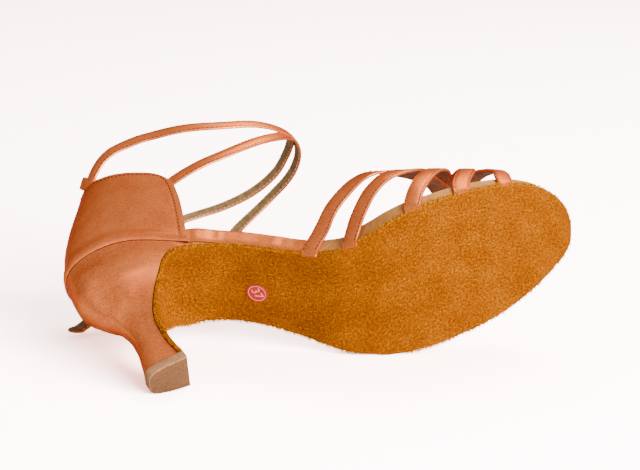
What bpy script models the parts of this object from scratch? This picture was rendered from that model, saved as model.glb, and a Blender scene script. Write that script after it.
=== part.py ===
# Latin dance sandal, left foot, laid on its outer side.
# It is drawn standing: the toe points along +X, the outer side is +Y, the origin is under the heel.
# An empty then lays the whole shoe down on the outer edge of its sole, its heel tip and its buckle.
import math

import bpy
import bmesh
from mathutils import Euler, Vector

MM = 0.001

# Sole
sole_length = 196.5 * MM
ball_width = 75.0 * MM
arch_rise = 60.0 * MM
outsole_thickness = 2.0 * MM
insole_thickness = 3.6 * MM
insole_inset = 0.8 * MM
edge_bevel = 0.5 * MM

# Heel
tip_length = 18.2 * MM
tip_front_width = 15.8 * MM
tip_back_width = 13.2 * MM
tip_thickness = 5.2 * MM
seat_height = 79.0 * MM
seat_length = 49.5 * MM
seat_back = 13.5 * MM
seat_drop = 23.8 * MM
seat_width = 43.0 * MM

# Heel cup
counter_height = 47.5 * MM
counter_wall = 2.0 * MM
counter_top_width = 54.0 * MM
counter_lean = 26.5 * MM
counter_front_height = 43.5 * MM
counter_front_reach = 9.5 * MM

# Vamp straps
strap_width = 7.6 * MM
strap_thickness = 1.4 * MM
strap_step = 0.7 * MM
strap_foot = 0.2 * MM
vamp_height = 56.5 * MM

# Ankle straps, buckle and loop
ankle_length = 96.0 * MM
ankle_width = 56.0 * MM
ankle_centre = 70.0 * MM
ankle_strap_width = 5.8 * MM
ankle_strap_thickness = 1.2 * MM
ankle_height = 120.0 * MM
buckle_length = 12.0 * MM
buckle_wire = 1.8 * MM
buckle_at = 0.765
keeper_at = 0.850
keeper_length = 4.0 * MM
sling_lift = 0.9 * MM
loop_at = 0.045
loop_length = 4.6 * MM
loop_play = 0.45 * MM
loop_wall = 0.9 * MM

# Fits
gap = 0.3 * MM
rim_thickness = 1.2 * MM
rim_height = 5.6 * MM

# Lie on the heel tip's outer corner, the outer edge of the sole and the strap's free end
rest_roll = -70.7
rest_pitch = -13.64
rest_turn = 24.33


def ease(rows, at, column):
    """Read one column of a table of rows, smoothly and without overshoot, at a first-column value."""
    count = len(rows)
    if at <= rows[0][0]:
        return rows[0][column]
    if at >= rows[-1][0]:
        return rows[-1][column]
    slopes = []
    for i in range(count - 1):
        slopes.append((rows[i + 1][column] - rows[i][column]) / (rows[i + 1][0] - rows[i][0]))
    ends = []
    for i in range(count):
        if i == 0:
            ends.append(slopes[0])
        elif i == count - 1:
            ends.append(slopes[-1])
        elif slopes[i - 1] * slopes[i] <= 0.0:
            ends.append(0.0)
        else:
            before = rows[i][0] - rows[i - 1][0]
            after = rows[i + 1][0] - rows[i][0]
            one = 2.0 * after + before
            two = after + 2.0 * before
            ends.append((one + two) / (one / slopes[i - 1] + two / slopes[i]))
    for i in range(count - 1):
        if at <= rows[i + 1][0]:
            span = rows[i + 1][0] - rows[i][0]
            t = (at - rows[i][0]) / span
            a = 2.0 * t ** 3 - 3.0 * t ** 2 + 1.0
            b = t ** 3 - 2.0 * t ** 2 + t
            c = -2.0 * t ** 3 + 3.0 * t ** 2
            d = t ** 3 - t ** 2
            low = a * rows[i][column] + b * span * ends[i]
            return low + c * rows[i + 1][column] + d * span * ends[i + 1]
    return rows[-1][column]


# Underside of the sole: along (share of sole length), inner and outer half width (shares of
# ball width), rise (share of arch rise).
sole_rows = (
    (0.112, 0.283, 0.283, 1.000),
    (0.153, 0.281, 0.282, 0.955),
    (0.186, 0.274, 0.281, 0.903),
    (0.229, 0.247, 0.288, 0.833),
    (0.265, 0.242, 0.294, 0.762),
    (0.305, 0.243, 0.304, 0.650),
    (0.346, 0.240, 0.330, 0.530),
    (0.382, 0.242, 0.360, 0.417),
    (0.417, 0.268, 0.399, 0.303),
    (0.458, 0.313, 0.434, 0.192),
    (0.499, 0.390, 0.455, 0.122),
    (0.534, 0.451, 0.469, 0.073),
    (0.570, 0.500, 0.473, 0.040),
    (0.611, 0.535, 0.469, 0.015),
    (0.655, 0.546, 0.467, 0.000),
    (0.720, 0.540, 0.457, 0.000),
    (0.785, 0.512, 0.435, 0.000),
    (0.840, 0.474, 0.395, 0.006),
    (0.906, 0.387, 0.325, 0.019),
    (0.941, 0.308, 0.266, 0.025),
    (0.967, 0.228, 0.215, 0.029),
    (0.987, 0.134, 0.160, 0.032),
    (0.996, 0.062, 0.112, 0.034),
    (1.000, 0.012, 0.066, 0.034),
)

# Flap that carries the outsole down the heel: middle along and rise (shares of sole length and
# arch rise), edge along and rise, half width (share of ball width). From the arch to the tip.
flap_rows = (
    (0.229, 0.833, 0.229, 0.832, 0.262),
    (0.193, 0.890, 0.196, 0.872, 0.270),
    (0.163, 0.925, 0.168, 0.883, 0.283),
    (0.135, 0.942, 0.142, 0.888, 0.287),
    (0.115, 0.940, 0.125, 0.875, 0.275),
    (0.097, 0.900, 0.107, 0.822, 0.225),
    (0.081, 0.825, 0.086, 0.750, 0.168),
    (0.067, 0.708, 0.067, 0.653, 0.128),
    (0.057, 0.583, 0.053, 0.550, 0.110),
    (0.052, 0.450, 0.045, 0.437, 0.105),
    (0.051, 0.283, 0.043, 0.283, 0.097),
    (0.053, 0.098, 0.048, 0.098, 0.095),
)

# Seat of the heel in the side view: share of seat length from the back, share of seat drop.
seat_rows = (
    (0.00, 0.000),
    (0.07, 0.059),
    (0.29, 0.252),
    (0.53, 0.480),
    (0.70, 0.681),
    (0.82, 0.819),
    (1.00, 1.000),
)


def underside(x):
    """Height of the sole's underside in the middle of the foot."""
    return ease(sole_rows, x / sole_length, 3) * arch_rise


def half_width(x, side):
    """Half width of the outsole, side -1 for the inner edge and 1 for the outer edge."""
    return ease(sole_rows, x / sole_length, 1 if side < 0 else 2) * ball_width


def arch_normal(x):
    """Unit vector square to the underside in the side view, pointing up."""
    step = 0.5 * MM
    slope = (underside(x + step) - underside(x - step)) / (2.0 * step)
    size = math.hypot(1.0, slope)
    return -slope / size, 1.0 / size


def seat_z(x):
    """Height of the heel's seat."""
    return seat_height - seat_drop * ease(seat_rows, (x + seat_back) / seat_length, 1)


def seat_front():
    return seat_length - seat_back


def cup_curve(turn, power=2.5):
    """Share of length from the front and share of half width round a heel cup.

    A turn of 0 is the inner front corner, 0.5 the back and 1 the outer front corner."""
    angle = math.pi * turn
    reach = abs(math.sin(angle)) ** (2.0 / power)
    side = abs(math.cos(angle)) ** (2.0 / power)
    return reach, -side if angle < math.pi / 2.0 else side


def add_material(name, colour, roughness, metallic=0.0):
    material = bpy.data.materials.new(name)
    material.use_nodes = True
    shader = material.node_tree.nodes["Principled BSDF"]
    shader.inputs["Base Color"].default_value = (*colour, 1.0)
    shader.inputs["Roughness"].default_value = roughness
    shader.inputs["Metallic"].default_value = metallic
    return material


def add_object(name, points, faces, material, parent):
    """Make one closed mesh object under the rest empty, its faces pointing out."""
    mesh = bpy.data.meshes.new(name)
    mesh.from_pydata([tuple(p) for p in points], [], faces)
    work = bmesh.new()
    work.from_mesh(mesh)
    bmesh.ops.remove_doubles(work, verts=work.verts, dist=0.00002)
    bmesh.ops.recalc_face_normals(work, faces=work.faces)
    if work.calc_volume(signed=True) < 0.0:
        bmesh.ops.reverse_faces(work, faces=work.faces)
    work.to_mesh(mesh)
    work.free()
    mesh.materials.append(material)
    mesh.shade_smooth()
    mesh.set_sharp_from_angle(angle=math.radians(35.0))
    item = bpy.data.objects.new(name, mesh)
    bpy.context.scene.collection.objects.link(item)
    item.parent = parent
    return item


def skin(rings, closed_ends=True):
    """Faces over a list of rings with the same number of points, each ring a closed loop."""
    points = []
    faces = []
    size = len(rings[0])
    for ring in rings:
        points.extend(ring)
    for i in range(len(rings) - 1):
        for j in range(size):
            k = (j + 1) % size
            faces.append((i * size + j, i * size + k, (i + 1) * size + k, (i + 1) * size + j))
    if closed_ends:
        faces.append(tuple(range(size)))
        last = (len(rings) - 1) * size
        faces.append(tuple(last + j for j in reversed(range(size))))
    return points, faces


def plate(lower, upper):
    """Closed solid between two grids of the same size."""
    rows = len(lower)
    columns = len(lower[0])
    points = []
    faces = []
    for grid in (lower, upper):
        for row in grid:
            points.extend(row)

    def at(level, i, j):
        return level * rows * columns + i * columns + j

    for i in range(rows - 1):
        for j in range(columns - 1):
            faces.append((at(0, i, j), at(0, i, j + 1), at(0, i + 1, j + 1), at(0, i + 1, j)))
            faces.append((at(1, i, j), at(1, i + 1, j), at(1, i + 1, j + 1), at(1, i, j + 1)))
    for i in range(rows - 1):
        for j in (0, columns - 1):
            faces.append((at(0, i, j), at(0, i + 1, j), at(1, i + 1, j), at(1, i, j)))
    for j in range(columns - 1):
        for i in (0, rows - 1):
            faces.append((at(0, i, j), at(0, i, j + 1), at(1, i, j + 1), at(1, i, j)))
    return points, faces


def grid_normals(grid):
    """Unit normals of a grid of points, by central differences."""
    rows = len(grid)
    columns = len(grid[0])
    out = []
    for i in range(rows):
        line = []
        for j in range(columns):
            along = grid[min(i + 1, rows - 1)][j] - grid[max(i - 1, 0)][j]
            across = grid[i][min(j + 1, columns - 1)] - grid[i][max(j - 1, 0)]
            line.append(across.cross(along).normalized())
        out.append(line)
    return out


def offset_grid(grid, distance):
    normals = grid_normals(grid)
    out = []
    for row, line in zip(grid, normals):
        out.append([p + n * distance for p, n in zip(row, line)])
    return out


# Outsole with its flap, one sheet of suede
across = (-1.0, -0.94, -0.75, -0.5, -0.25, 0.0, 0.25, 0.5, 0.75, 0.94, 1.0)


def flap_row(s):
    """Points across the flap, s from 0 at the arch to 1 at the tip."""
    rows = [(i / (len(flap_rows) - 1),) + row for i, row in enumerate(flap_rows)]
    middle = Vector((ease(rows, s, 1) * sole_length, 0.0, ease(rows, s, 2) * arch_rise))
    edge = Vector((ease(rows, s, 3) * sole_length, 0.0, ease(rows, s, 4) * arch_rise))
    half = ease(rows, s, 5) * ball_width
    blend = max(0.0, 1.0 - 4.0 * s)
    x = ease(rows, 0.0, 1) * sole_length
    line = []
    for share in across:
        side = -1.0 if share < 0.0 else 1.0
        width = half * (1.0 - blend) + half_width(x, side) * blend
        p = middle.lerp(edge, abs(share) ** 2.2)
        p.y = share * width
        line.append(p)
    return line


def sole_grid():
    grid = []
    stations = [0.9995, 0.997, 0.993, 0.987, 0.978, 0.967, 0.955, 0.941, 0.924, 0.906]
    x = 0.88
    while x > 0.24:
        stations.append(x)
        x -= 0.0245
    for share in stations:
        x = share * sole_length
        z = underside(x)
        line = []
        for part in across:
            side = -1.0 if part < 0.0 else 1.0
            line.append(Vector((x, part * half_width(x, side), z)))
        grid.append(line)
    return grid


def outsole_grid():
    grid = sole_grid()
    steps = 22
    for i in range(steps + 1):
        grid.append(flap_row(i / steps))
    return grid


def bevelled(grid, depth):
    """Pull the border columns of a grid up by a small bevel."""
    normals = grid_normals(grid)
    out = []
    for row, line in zip(grid, normals):
        new = list(row)
        new[0] = row[0] + line[0] * depth
        new[-1] = row[-1] + line[-1] * depth
        out.append(new)
    return out


def make_outsole(material, parent):
    low = outsole_grid()
    up = offset_grid(low, outsole_thickness)
    points, faces = plate(bevelled(low, edge_bevel), up)
    return add_object("outsole", points, faces, material, parent)


# Insole board
def insole_half(x, side):
    front = seat_front()
    if x < front:
        back = -seat_back + counter_wall + gap
        reach = min(1.0, max(0.0, (front - x) / (front - back)))
        half = seat_width / 2.0 - counter_wall - gap
        return half * (1.0 - reach ** 2.5) ** (1.0 / 2.5)
    blend = min(1.0, (x - front) / (12.0 * MM))
    seat = seat_width / 2.0 - counter_wall - gap
    toe = max(0.0, (x - 0.93 * sole_length) / (0.07 * sole_length))
    inset = half_width(x + insole_inset * toe, side) - insole_inset * (1.0 - toe * 0.7)
    return seat * (1.0 - blend) + inset * blend


def insole_bottom(x):
    """Side view point of the insole's underside over a sole station."""
    lift = outsole_thickness + gap
    front = 0.20 * sole_length
    seat_end = 0.10 * sole_length
    nx, nz = arch_normal(max(x, seat_end))
    arch = Vector((x + nx * lift, 0.0, underside(x) + nz * lift))
    seat = Vector((x, 0.0, seat_z(x) + gap))
    if x <= seat_end:
        return seat, (seat_drop / seat_length, 1.0)
    if x >= front:
        return arch, (nx, nz)
    t = (x - seat_end) / (front - seat_end)
    t = t * t * (3.0 - 2.0 * t)
    return seat.lerp(arch, t), (nx * t + (1.0 - t) * seat_drop / seat_length, nz)


def insole_profile():
    stations = []
    count = 12
    back = -seat_back + counter_wall + gap
    for i in range(count):
        t = (i + 0.35) / count
        stations.append(back + (seat_front() - back) * t ** 1.8)
    x = seat_front()
    while x < 0.90 * sole_length:
        stations.append(x)
        x += 5.0 * MM
    for share in (0.906, 0.924, 0.941, 0.955, 0.967, 0.977, 0.985, 0.991, 0.9945):
        stations.append(share * sole_length)
    return stations


def make_insole(material, parent):
    low = []
    up = []
    for x in insole_profile():
        base, normal = insole_bottom(x)
        size = math.hypot(*normal)
        n = Vector((normal[0] / size, 0.0, normal[1] / size))
        bottom = []
        top = []
        for part in (-1.0, -0.9, 0.0, 0.9, 1.0):
            side = -1.0 if part < 0.0 else 1.0
            y = part * insole_half(x, side)
            p = Vector((base.x, y, base.z))
            bottom.append(p)
            trim = edge_bevel if abs(part) > 0.99 else 0.0
            top.append(p + n * (insole_thickness - trim))
        low.append(bottom)
        up.append(top)
    points, faces = plate(low, up)
    return add_object("insole", points, faces, material, parent)


# Heel block. The front of each row is the flap's own surface moved in by the outsole and a gap.
# Columns: share down the flap, back along (share of tip length), back rise (share of seat height),
# half width (share of seat width) and the power of the round back.
heel_rows = (
    (1.00, -0.470, 0.069, 0.150, 4.0),
    (0.91, -0.345, 0.190, 0.143, 3.6),
    (0.82, -0.240, 0.310, 0.148, 3.0),
    (0.73, -0.220, 0.402, 0.162, 2.6),
    (0.64, -0.320, 0.515, 0.192, 2.4),
    (0.55, -0.570, 0.605, 0.262, 2.2),
    (0.46, -0.765, 0.712, 0.365, 2.1),
    (0.41, -0.838, 0.790, 0.438, 2.2),
    (0.36, -0.800, 0.905, 0.485, 2.3),
)


def make_heel(material, parent):
    rings = []
    lift = outsole_thickness + gap
    count = 22
    inner = offset_grid(outsole_grid(), lift)
    flap = inner[-(count + 1):]
    back_steps = 20
    table = tuple(sorted(heel_rows))
    for i in range(8, count + 1):
        s = i / count
        front = flap[i]
        back_x = ease(table, s, 1) * tip_length
        back_z = ease(table, s, 2) * seat_height
        half = ease(table, s, 3) * seat_width
        power = ease(table, s, 4)
        ring = []
        for p in front:
            ring.append(p.copy())
        a = front[-1]
        b = front[0]
        for k in range(1, back_steps):
            t = k / back_steps
            angle = math.pi * t
            reach = abs(math.sin(angle)) ** (2.0 / power)
            side = abs(math.cos(angle)) ** (2.0 / power)
            if t > 0.5:
                side = -side
            front_x = (a.x + b.x) / 2.0
            front_z = (a.z + b.z) / 2.0
            edge_half = abs(a.y if side > 0 else b.y)
            width = edge_half + (half - edge_half) * min(1.0, 2.6 * reach)
            ring.append(Vector((
                front_x + (back_x - front_x) * reach,
                side * width,
                front_z + (back_z - front_z) * reach,
            )))
        rings.append(ring)
    # Top of the block, flat along the seat
    first = rings[0]
    top = []
    count_front = len(across)
    for j, p in enumerate(first):
        if j < count_front:
            top.append(Vector((p.x, p.y, max(seat_z(p.x), p.z + 0.4 * MM))))
        else:
            t = (j - count_front + 1) / back_steps
            reach, side = cup_curve(1.0 - t)
            x = seat_front() - reach * seat_length
            top.append(Vector((min(x, first[0].x), side * seat_width / 2.0, seat_z(min(x, first[0].x)))))
    rings.insert(0, top)
    points, faces = skin(rings)
    return add_object("heel", points, faces, material, parent)


def make_tip(material, parent):
    """Heel tip, a D with its flat side to the front."""
    outline = []
    steps = 22
    for k in range(steps + 1):
        angle = math.pi * k / steps
        reach = abs(math.sin(angle)) ** 0.5
        side = abs(math.cos(angle)) ** 0.5 * (1.0 if 2 * k < steps else -1.0)
        if 2 * k == steps:
            side = 0.0
        width = tip_front_width + (tip_back_width - tip_front_width) * reach
        outline.append(Vector((tip_length * (0.5 - reach), side * width / 2.0)))
    rings = []
    for z, trim in ((0.0, 0.35 * MM), (0.35 * MM, 0.0), (tip_thickness, 0.0)):
        ring = []
        for p in outline:
            scale = 1.0 - trim / (tip_front_width / 2.0)
            ring.append(Vector((p.x * scale, p.y * scale, z)))
        rings.append(ring)
    points, faces = skin(rings)
    return add_object("heel_tip", points, faces, material, parent)


# Heel cup: level, back lean and rise (shares of lean and height), front reach and rise
# (shares of front reach and front height), half width (share of top width).
cup_rows = (
    (0.00, 0.000, 0.000, 0.000, 0.000, 0.398),
    (0.15, 0.070, 0.150, 0.220, 0.150, 0.422),
    (0.35, 0.230, 0.350, 0.540, 0.360, 0.458),
    (0.60, 0.500, 0.600, 0.860, 0.620, 0.488),
    (0.80, 0.750, 0.800, 1.000, 0.830, 0.500),
    (1.00, 1.000, 1.000, 1.000, 1.000, 0.500),
)


def cup_point(level, turn):
    lean = ease(cup_rows, level, 1) * counter_lean
    rise = ease(cup_rows, level, 2) * counter_height
    reach_front = ease(cup_rows, level, 3) * counter_front_reach
    rise_front = ease(cup_rows, level, 4) * counter_front_height
    half = ease(cup_rows, level, 5) * counter_top_width
    reach, side = cup_curve(turn)
    front = Vector((seat_front() + reach_front, 0.0, seat_z(seat_front()) + gap + rise_front))
    back = Vector((-seat_back + lean, 0.0, seat_height + gap + rise))
    p = front.lerp(back, reach)
    p.z += (seat_z(seat_front() - reach * seat_length) - seat_z(seat_front()) * (1.0 - reach)
            - seat_height * reach) * (1.0 - level)
    p.y = side * half
    return p


def make_counter(material, parent):
    turns = 36
    levels = 9
    outer = []
    for i in range(levels + 1):
        outer.append([cup_point(i / levels, j / turns) for j in range(turns + 1)])
    inner = offset_grid(outer, counter_wall)
    points, faces = plate(outer, inner)
    return add_object("counter", points, faces, material, parent)


# Satin rims round the waist of the insole, from the heel cup to the first strap
def make_rim(name, side, material, parent):
    rings = []
    start = seat_front() + 0.8 * MM
    stop = 0.364 * sole_length
    steps = 10
    for i in range(steps + 1):
        x = start + (stop - start) * i / steps
        base, normal = insole_bottom(x)
        size = math.hypot(*normal)
        n = Vector((normal[0] / size, 0.0, normal[1] / size))
        y = insole_half(x, side) + gap
        ring = []
        for out, up in ((0.0, 0.0), (rim_thickness, 0.0), (rim_thickness, rim_height), (0.0, rim_height)):
            ring.append(Vector((base.x, side * (y + out), base.z)) + n * up)
        rings.append(ring)
    points, faces = skin(rings)
    return add_object(name, points, faces, material, parent)


# Form inside the vamp: along (share of sole length), height over the floor (share of vamp height)
vamp_rows = (
    (0.305, 1.48),
    (0.382, 1.35),
    (0.458, 1.24),
    (0.534, 1.12),
    (0.611, 1.06),
    (0.687, 0.88),
    (0.763, 0.70),
    (0.840, 0.56),
    (0.916, 0.45),
    (1.000, 0.34),
)


def vamp_point(x, angle, lift):
    """Point over the form at an angle from 0 at the inner edge to 180 at the outer edge."""
    base, normal = insole_bottom(x)
    inner = insole_half(x, -1) + gap + strap_foot
    outer = insole_half(x, 1) + gap + strap_foot
    middle = (outer - inner) / 2.0
    half = (outer + inner) / 2.0 + lift
    height = ease(vamp_rows, x / sole_length, 1) * vamp_height - base.z + lift
    turn = math.radians(angle)
    power = 2.0 / 2.4
    side = -abs(math.cos(turn)) ** power if angle < 90.0 else abs(math.cos(turn)) ** power
    return Vector((x, middle + side * half, base.z + height * abs(math.sin(turn)) ** power))


def vamp_normal(x, angle):
    step = 0.4 * MM
    turn = 1.0
    low = max(angle - turn, 0.0)
    high = min(angle + turn, 180.0)
    along = vamp_point(x + step, angle, 0.0) - vamp_point(x - step, angle, 0.0)
    round_ = vamp_point(x, high, 0.0) - vamp_point(x, low, 0.0)
    n = along.cross(round_).normalized()
    if n.z < 0.0 and 20.0 < angle < 160.0:
        n = -n
    return n


# Vamp straps: rows of along (share of sole length), angle round the form and turn of the band
# (degrees), from the inner edge to the outer edge; step is how many strap steps the strap lies
# above the form where the straps cross.
vamp_straps = (
    ("vamp_straps", 0.0, (
        (0.400, 0.0, 0.0), (0.434, 9.0, -5.0), (0.496, 25.5, -12.0), (0.546, 36.0, -15.0),
        (0.594, 44.0, -12.0), (0.656, 50.5, -2.0), (0.735, 62.0, 8.0), (0.800, 90.0, 3.0),
        (0.830, 135.0, 0.0), (0.845, 165.0, 0.0), (0.850, 180.0, 0.0))),
    ("strap_two", 1.0, (
        (0.472, 0.0, 0.0), (0.492, 4.0, -2.0), (0.518, 10.0, -3.0), (0.562, 19.0, -4.0),
        (0.608, 26.0, -4.0), (0.657, 34.0, -1.0), (0.702, 45.0, 4.0), (0.745, 64.0, 6.0),
        (0.785, 90.0, 2.0), (0.815, 140.0, 0.0), (0.825, 168.0, 0.0), (0.825, 180.0, 0.0))),
    ("strap_three", 3.0, (
        (0.604, 0.0, 0.0), (0.632, 6.0, 0.0), (0.666, 14.0, 0.0), (0.698, 23.0, 0.0),
        (0.733, 36.0, 0.0), (0.768, 58.0, 0.0), (0.785, 90.0, 0.0), (0.745, 140.0, 0.0),
        (0.700, 168.0, 0.0), (0.685, 180.0, 0.0))),
    ("strap_four", 2.0, (
        (0.722, 0.0, 0.0), (0.738, 6.0, 0.0), (0.761, 14.0, 0.0), (0.782, 24.0, 0.0),
        (0.798, 40.0, 0.0), (0.800, 62.0, 0.0), (0.780, 90.0, 0.0), (0.705, 140.0, 0.0),
        (0.650, 168.0, 0.0), (0.635, 180.0, 0.0))),
    ("strap_five", 4.0, (
        (0.832, 0.0, 0.0), (0.838, 6.0, 0.0), (0.846, 14.0, 0.0), (0.850, 26.0, 0.0),
        (0.848, 42.0, 0.0), (0.838, 62.0, 0.0), (0.812, 90.0, 0.0), (0.730, 130.0, 0.0),
        (0.670, 162.0, 0.0), (0.650, 180.0, 0.0))),
)


def smooth(rows, t):
    """Read a point of a table as a smooth curve, t from 0 to 1 over its rows."""
    count = len(rows) - 1
    place = min(max(t, 0.0), 1.0) * count
    i = min(int(place), count - 1)
    u = place - i
    a = rows[max(i - 1, 0)]
    b = rows[i]
    c = rows[i + 1]
    d = rows[min(i + 2, count)]
    out = []
    for k in range(len(b)):
        m0 = (c[k] - a[k]) / 2.0
        m1 = (d[k] - b[k]) / 2.0
        h0 = 2.0 * u ** 3 - 3.0 * u ** 2 + 1.0
        h1 = u ** 3 - 2.0 * u ** 2 + u
        h2 = -2.0 * u ** 3 + 3.0 * u ** 2
        h3 = u ** 3 - u ** 2
        out.append(h0 * b[k] + h1 * m0 + h2 * c[k] + h3 * m1)
    return out


def ribbon(points, normals, width, thickness, turns=None):
    """Rings of a flat band that follows points, its inner face on them, turned about its length."""
    rings = []
    count = len(points)
    for i in range(count):
        along = (points[min(i + 1, count - 1)] - points[max(i - 1, 0)]).normalized()
        n = (normals[i] - along * normals[i].dot(along)).normalized()
        side = along.cross(n)
        if turns:
            turn = math.radians(turns[i])
            side, n = side * math.cos(turn) + n * math.sin(turn), n * math.cos(turn) - side * math.sin(turn)
        p = points[i]
        rings.append([
            p - side * (width / 2.0),
            p + side * (width / 2.0),
            p + side * (width / 2.0) + n * thickness,
            p - side * (width / 2.0) + n * thickness,
        ])
    return rings


def ramp(value):
    """Smooth step from 0 to 1."""
    value = min(max(value, 0.0), 1.0)
    return value * value * (3.0 - 2.0 * value)


def vamp_strap_rings(step, rows):
    points = []
    normals = []
    turns = []
    count = 34
    for i in range(count + 1):
        t = i / count
        share, angle, turn = smooth(rows, t)
        x = share * sole_length
        turns.append(turn)
        lift = step * strap_step * ramp((angle - 35.0) / 40.0) * ramp((180.0 - angle) / 40.0)
        points.append(vamp_point(x, min(max(angle, 0.0), 180.0), lift))
        normals.append(vamp_normal(x, min(max(angle, 2.0), 178.0)))
    rings = ribbon(points, normals, strap_width, strap_thickness, turns)
    lift = outsole_thickness + gap
    for ring in rings:
        for p in ring:
            station = p.x - arch_normal(p.x)[0] * lift
            p.z = max(p.z, insole_bottom(station)[0].z + strap_foot)
    return rings


def make_vamp(material, parent):
    items = []
    for name, step, rows in vamp_straps:
        points, faces = skin(vamp_strap_rings(step, rows))
        items.append(add_object(name, points, faces, material, parent))
    main = items[0]
    for other in items[1:]:
        other.hide_render = True
        other.display_type = "WIRE"
        join = main.modifiers.new("join " + other.name, "BOOLEAN")
        join.operation = "UNION"
        join.solver = "EXACT"
        join.object = other
    return main


def ankle_point(angle, height, out, lift):
    """Point on the form round the ankle, angle 0 at the front and -90 on the inner side."""
    turn = math.radians(angle)
    spread = lift + out * ankle_width
    return Vector((
        ankle_centre + (ankle_length / 2.0 + spread) * math.cos(turn),
        (ankle_width / 2.0 + spread) * math.sin(turn),
        height * ankle_height,
    ))


def ankle_normal(angle):
    turn = math.radians(min(angle, 100.0))
    return Vector((math.cos(turn) / ankle_length, math.sin(turn) / ankle_width, 0.0)).normalized()


# Sling strap: angle round the ankle, height (share of ankle height) and how far it stands off the
# form (share of ankle width), from the loop at the back to the waist on the outer side.
sling_rows = (
    (-158.0, 1.067, 0.166), (-153.3, 1.070, 0.152), (-147.0, 1.078, 0.133), (-140.1, 1.091, 0.107),
    (-133.7, 1.096, 0.076), (-127.0, 1.095, 0.045), (-118.3, 1.086, 0.020), (-110.0, 1.073, 0.0),
    (-95.0, 1.036, 0.0), (-75.0, 0.985, 0.0), (-55.0, 0.975, 0.0),
    (-34.0, 0.969, 0.0), (-12.0, 0.982, 0.0), (8.0, 0.993, 0.0), (25.0, 0.999, 0.0),
    (45.0, 1.004, 0.0), (65.0, 0.979, 0.0), (78.0, 0.936, 0.0), (90.0, 0.850, 0.0),
    (99.0, 0.730, -0.02), (105.0, 0.580, -0.078), (108.0, 0.436, -0.146),
)

# Buckled strap: the same columns, from the heel cup's inner corner to the buckle and its free end.
buckled_rows = (
    (-126.0, 0.812, -0.045), (-118.0, 0.809, -0.030), (-101.0, 0.803, -0.004), (-83.0, 0.813, 0.0),
    (-62.0, 0.856, 0.0), (-42.0, 0.909, 0.0), (-22.0, 0.980, 0.0), (-4.0, 1.040, 0.0),
    (14.0, 1.070, 0.0), (31.0, 1.074, 0.0), (52.0, 1.087, 0.0), (71.0, 1.107, 0.0),
    (88.0, 1.126, 0.0), (100.0, 1.118, 0.0), (111.0, 1.075, 0.02), (121.0, 1.010, 0.075),
    (131.0, 0.930, 0.185), (139.0, 0.860, 0.325), (145.5, 0.805, 0.505), (150.8, 0.760, 0.725),
)


def ankle_rings(rows, lift, count, first=0.0, last=1.0):
    points = []
    normals = []
    for i in range(count + 1):
        angle, height, out = smooth(rows, first + (last - first) * i / count)
        points.append(ankle_point(angle, height, out, lift))
        normals.append(ankle_normal(angle))
    return ribbon(points, normals, ankle_strap_width, ankle_strap_thickness)


def strap_frame(rows, lift, t):
    """Place, direction, outward normal and sideways direction of a strap at t from 0 to 1."""
    angle, height, out = smooth(rows, t)
    before = ankle_point(*smooth(rows, t - 0.01), lift)
    after = ankle_point(*smooth(rows, t + 0.01), lift)
    along = (after - before).normalized()
    n = ankle_normal(angle)
    n = (n - along * n.dot(along)).normalized()
    return ankle_point(angle, height, out, lift), along, n, along.cross(n)


def make_ankle(material, parent):
    points, faces = skin(ankle_rings(sling_rows, sling_lift, 48))
    sling = add_object("ankle_straps", points, faces, material, parent)
    rings = ankle_rings(buckled_rows, 0.0, 54)
    tip = []
    middle = sum(rings[-1], Vector()) / 4.0
    for p in rings[-1]:
        tip.append(middle.lerp(p, 0.25) + (rings[-1][0] - rings[-2][0]) * 1.6)
    rings.append(tip)
    points, faces = skin(rings)
    buckled = add_object("buckled_strap", points, faces, material, parent)
    buckled.hide_render = True
    buckled.display_type = "WIRE"
    join = sling.modifiers.new("join buckled strap", "BOOLEAN")
    join.operation = "UNION"
    join.solver = "EXACT"
    join.object = buckled
    return sling


def frame_ring(name, centre, axis, first, second, inner_first, inner_second, wall, depth, material,
               parent):
    """Four-sided ring: it is depth long on its axis, its opening is inner_first by inner_second."""
    points = []
    for end in (-0.5, 0.5):
        for grow in (0.0, wall):
            for a, b in ((-1.0, -1.0), (1.0, -1.0), (1.0, 1.0), (-1.0, 1.0)):
                points.append(centre + axis * (end * depth)
                              + first * (a * (inner_first / 2.0 + grow))
                              + second * (b * (inner_second / 2.0 + grow)))
    faces = []
    for k in range(4):
        m = (k + 1) % 4
        faces.append((k, m, 4 + m, 4 + k))
        faces.append((8 + k, 12 + k, 12 + m, 8 + m))
        faces.append((4 + k, 4 + m, 12 + m, 12 + k))
        faces.append((k, 8 + k, 8 + m, m))
    return add_object(name, points, faces, material, parent)


def box_points(centre, first, second, third, sizes):
    points = []
    for a in (-0.5, 0.5):
        for b in (-0.5, 0.5):
            for c in (-0.5, 0.5):
                points.append(centre + first * (a * sizes[0]) + second * (b * sizes[1])
                              + third * (c * sizes[2]))
    faces = [(0, 1, 3, 2), (4, 6, 7, 5), (0, 4, 5, 1), (2, 3, 7, 6), (0, 2, 6, 4), (1, 5, 7, 3)]
    return points, faces


# Tab that holds the buckle: along (share of ankle centre), out (share of ankle width), height
# (share of ankle height), from the heel cup's outer corner.
tab_rows = (
    (0.575, 0.4895, 0.775),
    (0.585, 0.4895, 0.830),
    (0.595, 0.4890, 0.865),
    (0.610, 0.4780, 0.905),
    (0.630, 0.4630, 0.955),
    (0.650, 0.4575, 1.010),
)


def make_tab(material, parent):
    points = []
    for i in range(13):
        along, out, height = smooth(tab_rows, i / 12.0)
        points.append(Vector((along * ankle_centre, out * ankle_width, height * ankle_height)))
    normals = [Vector((0.0, 1.0, 0.0))] * len(points)
    points, faces = skin(ribbon(points, normals, ankle_strap_width, ankle_strap_thickness))
    return add_object("buckle_tab", points, faces, material, parent)


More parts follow.
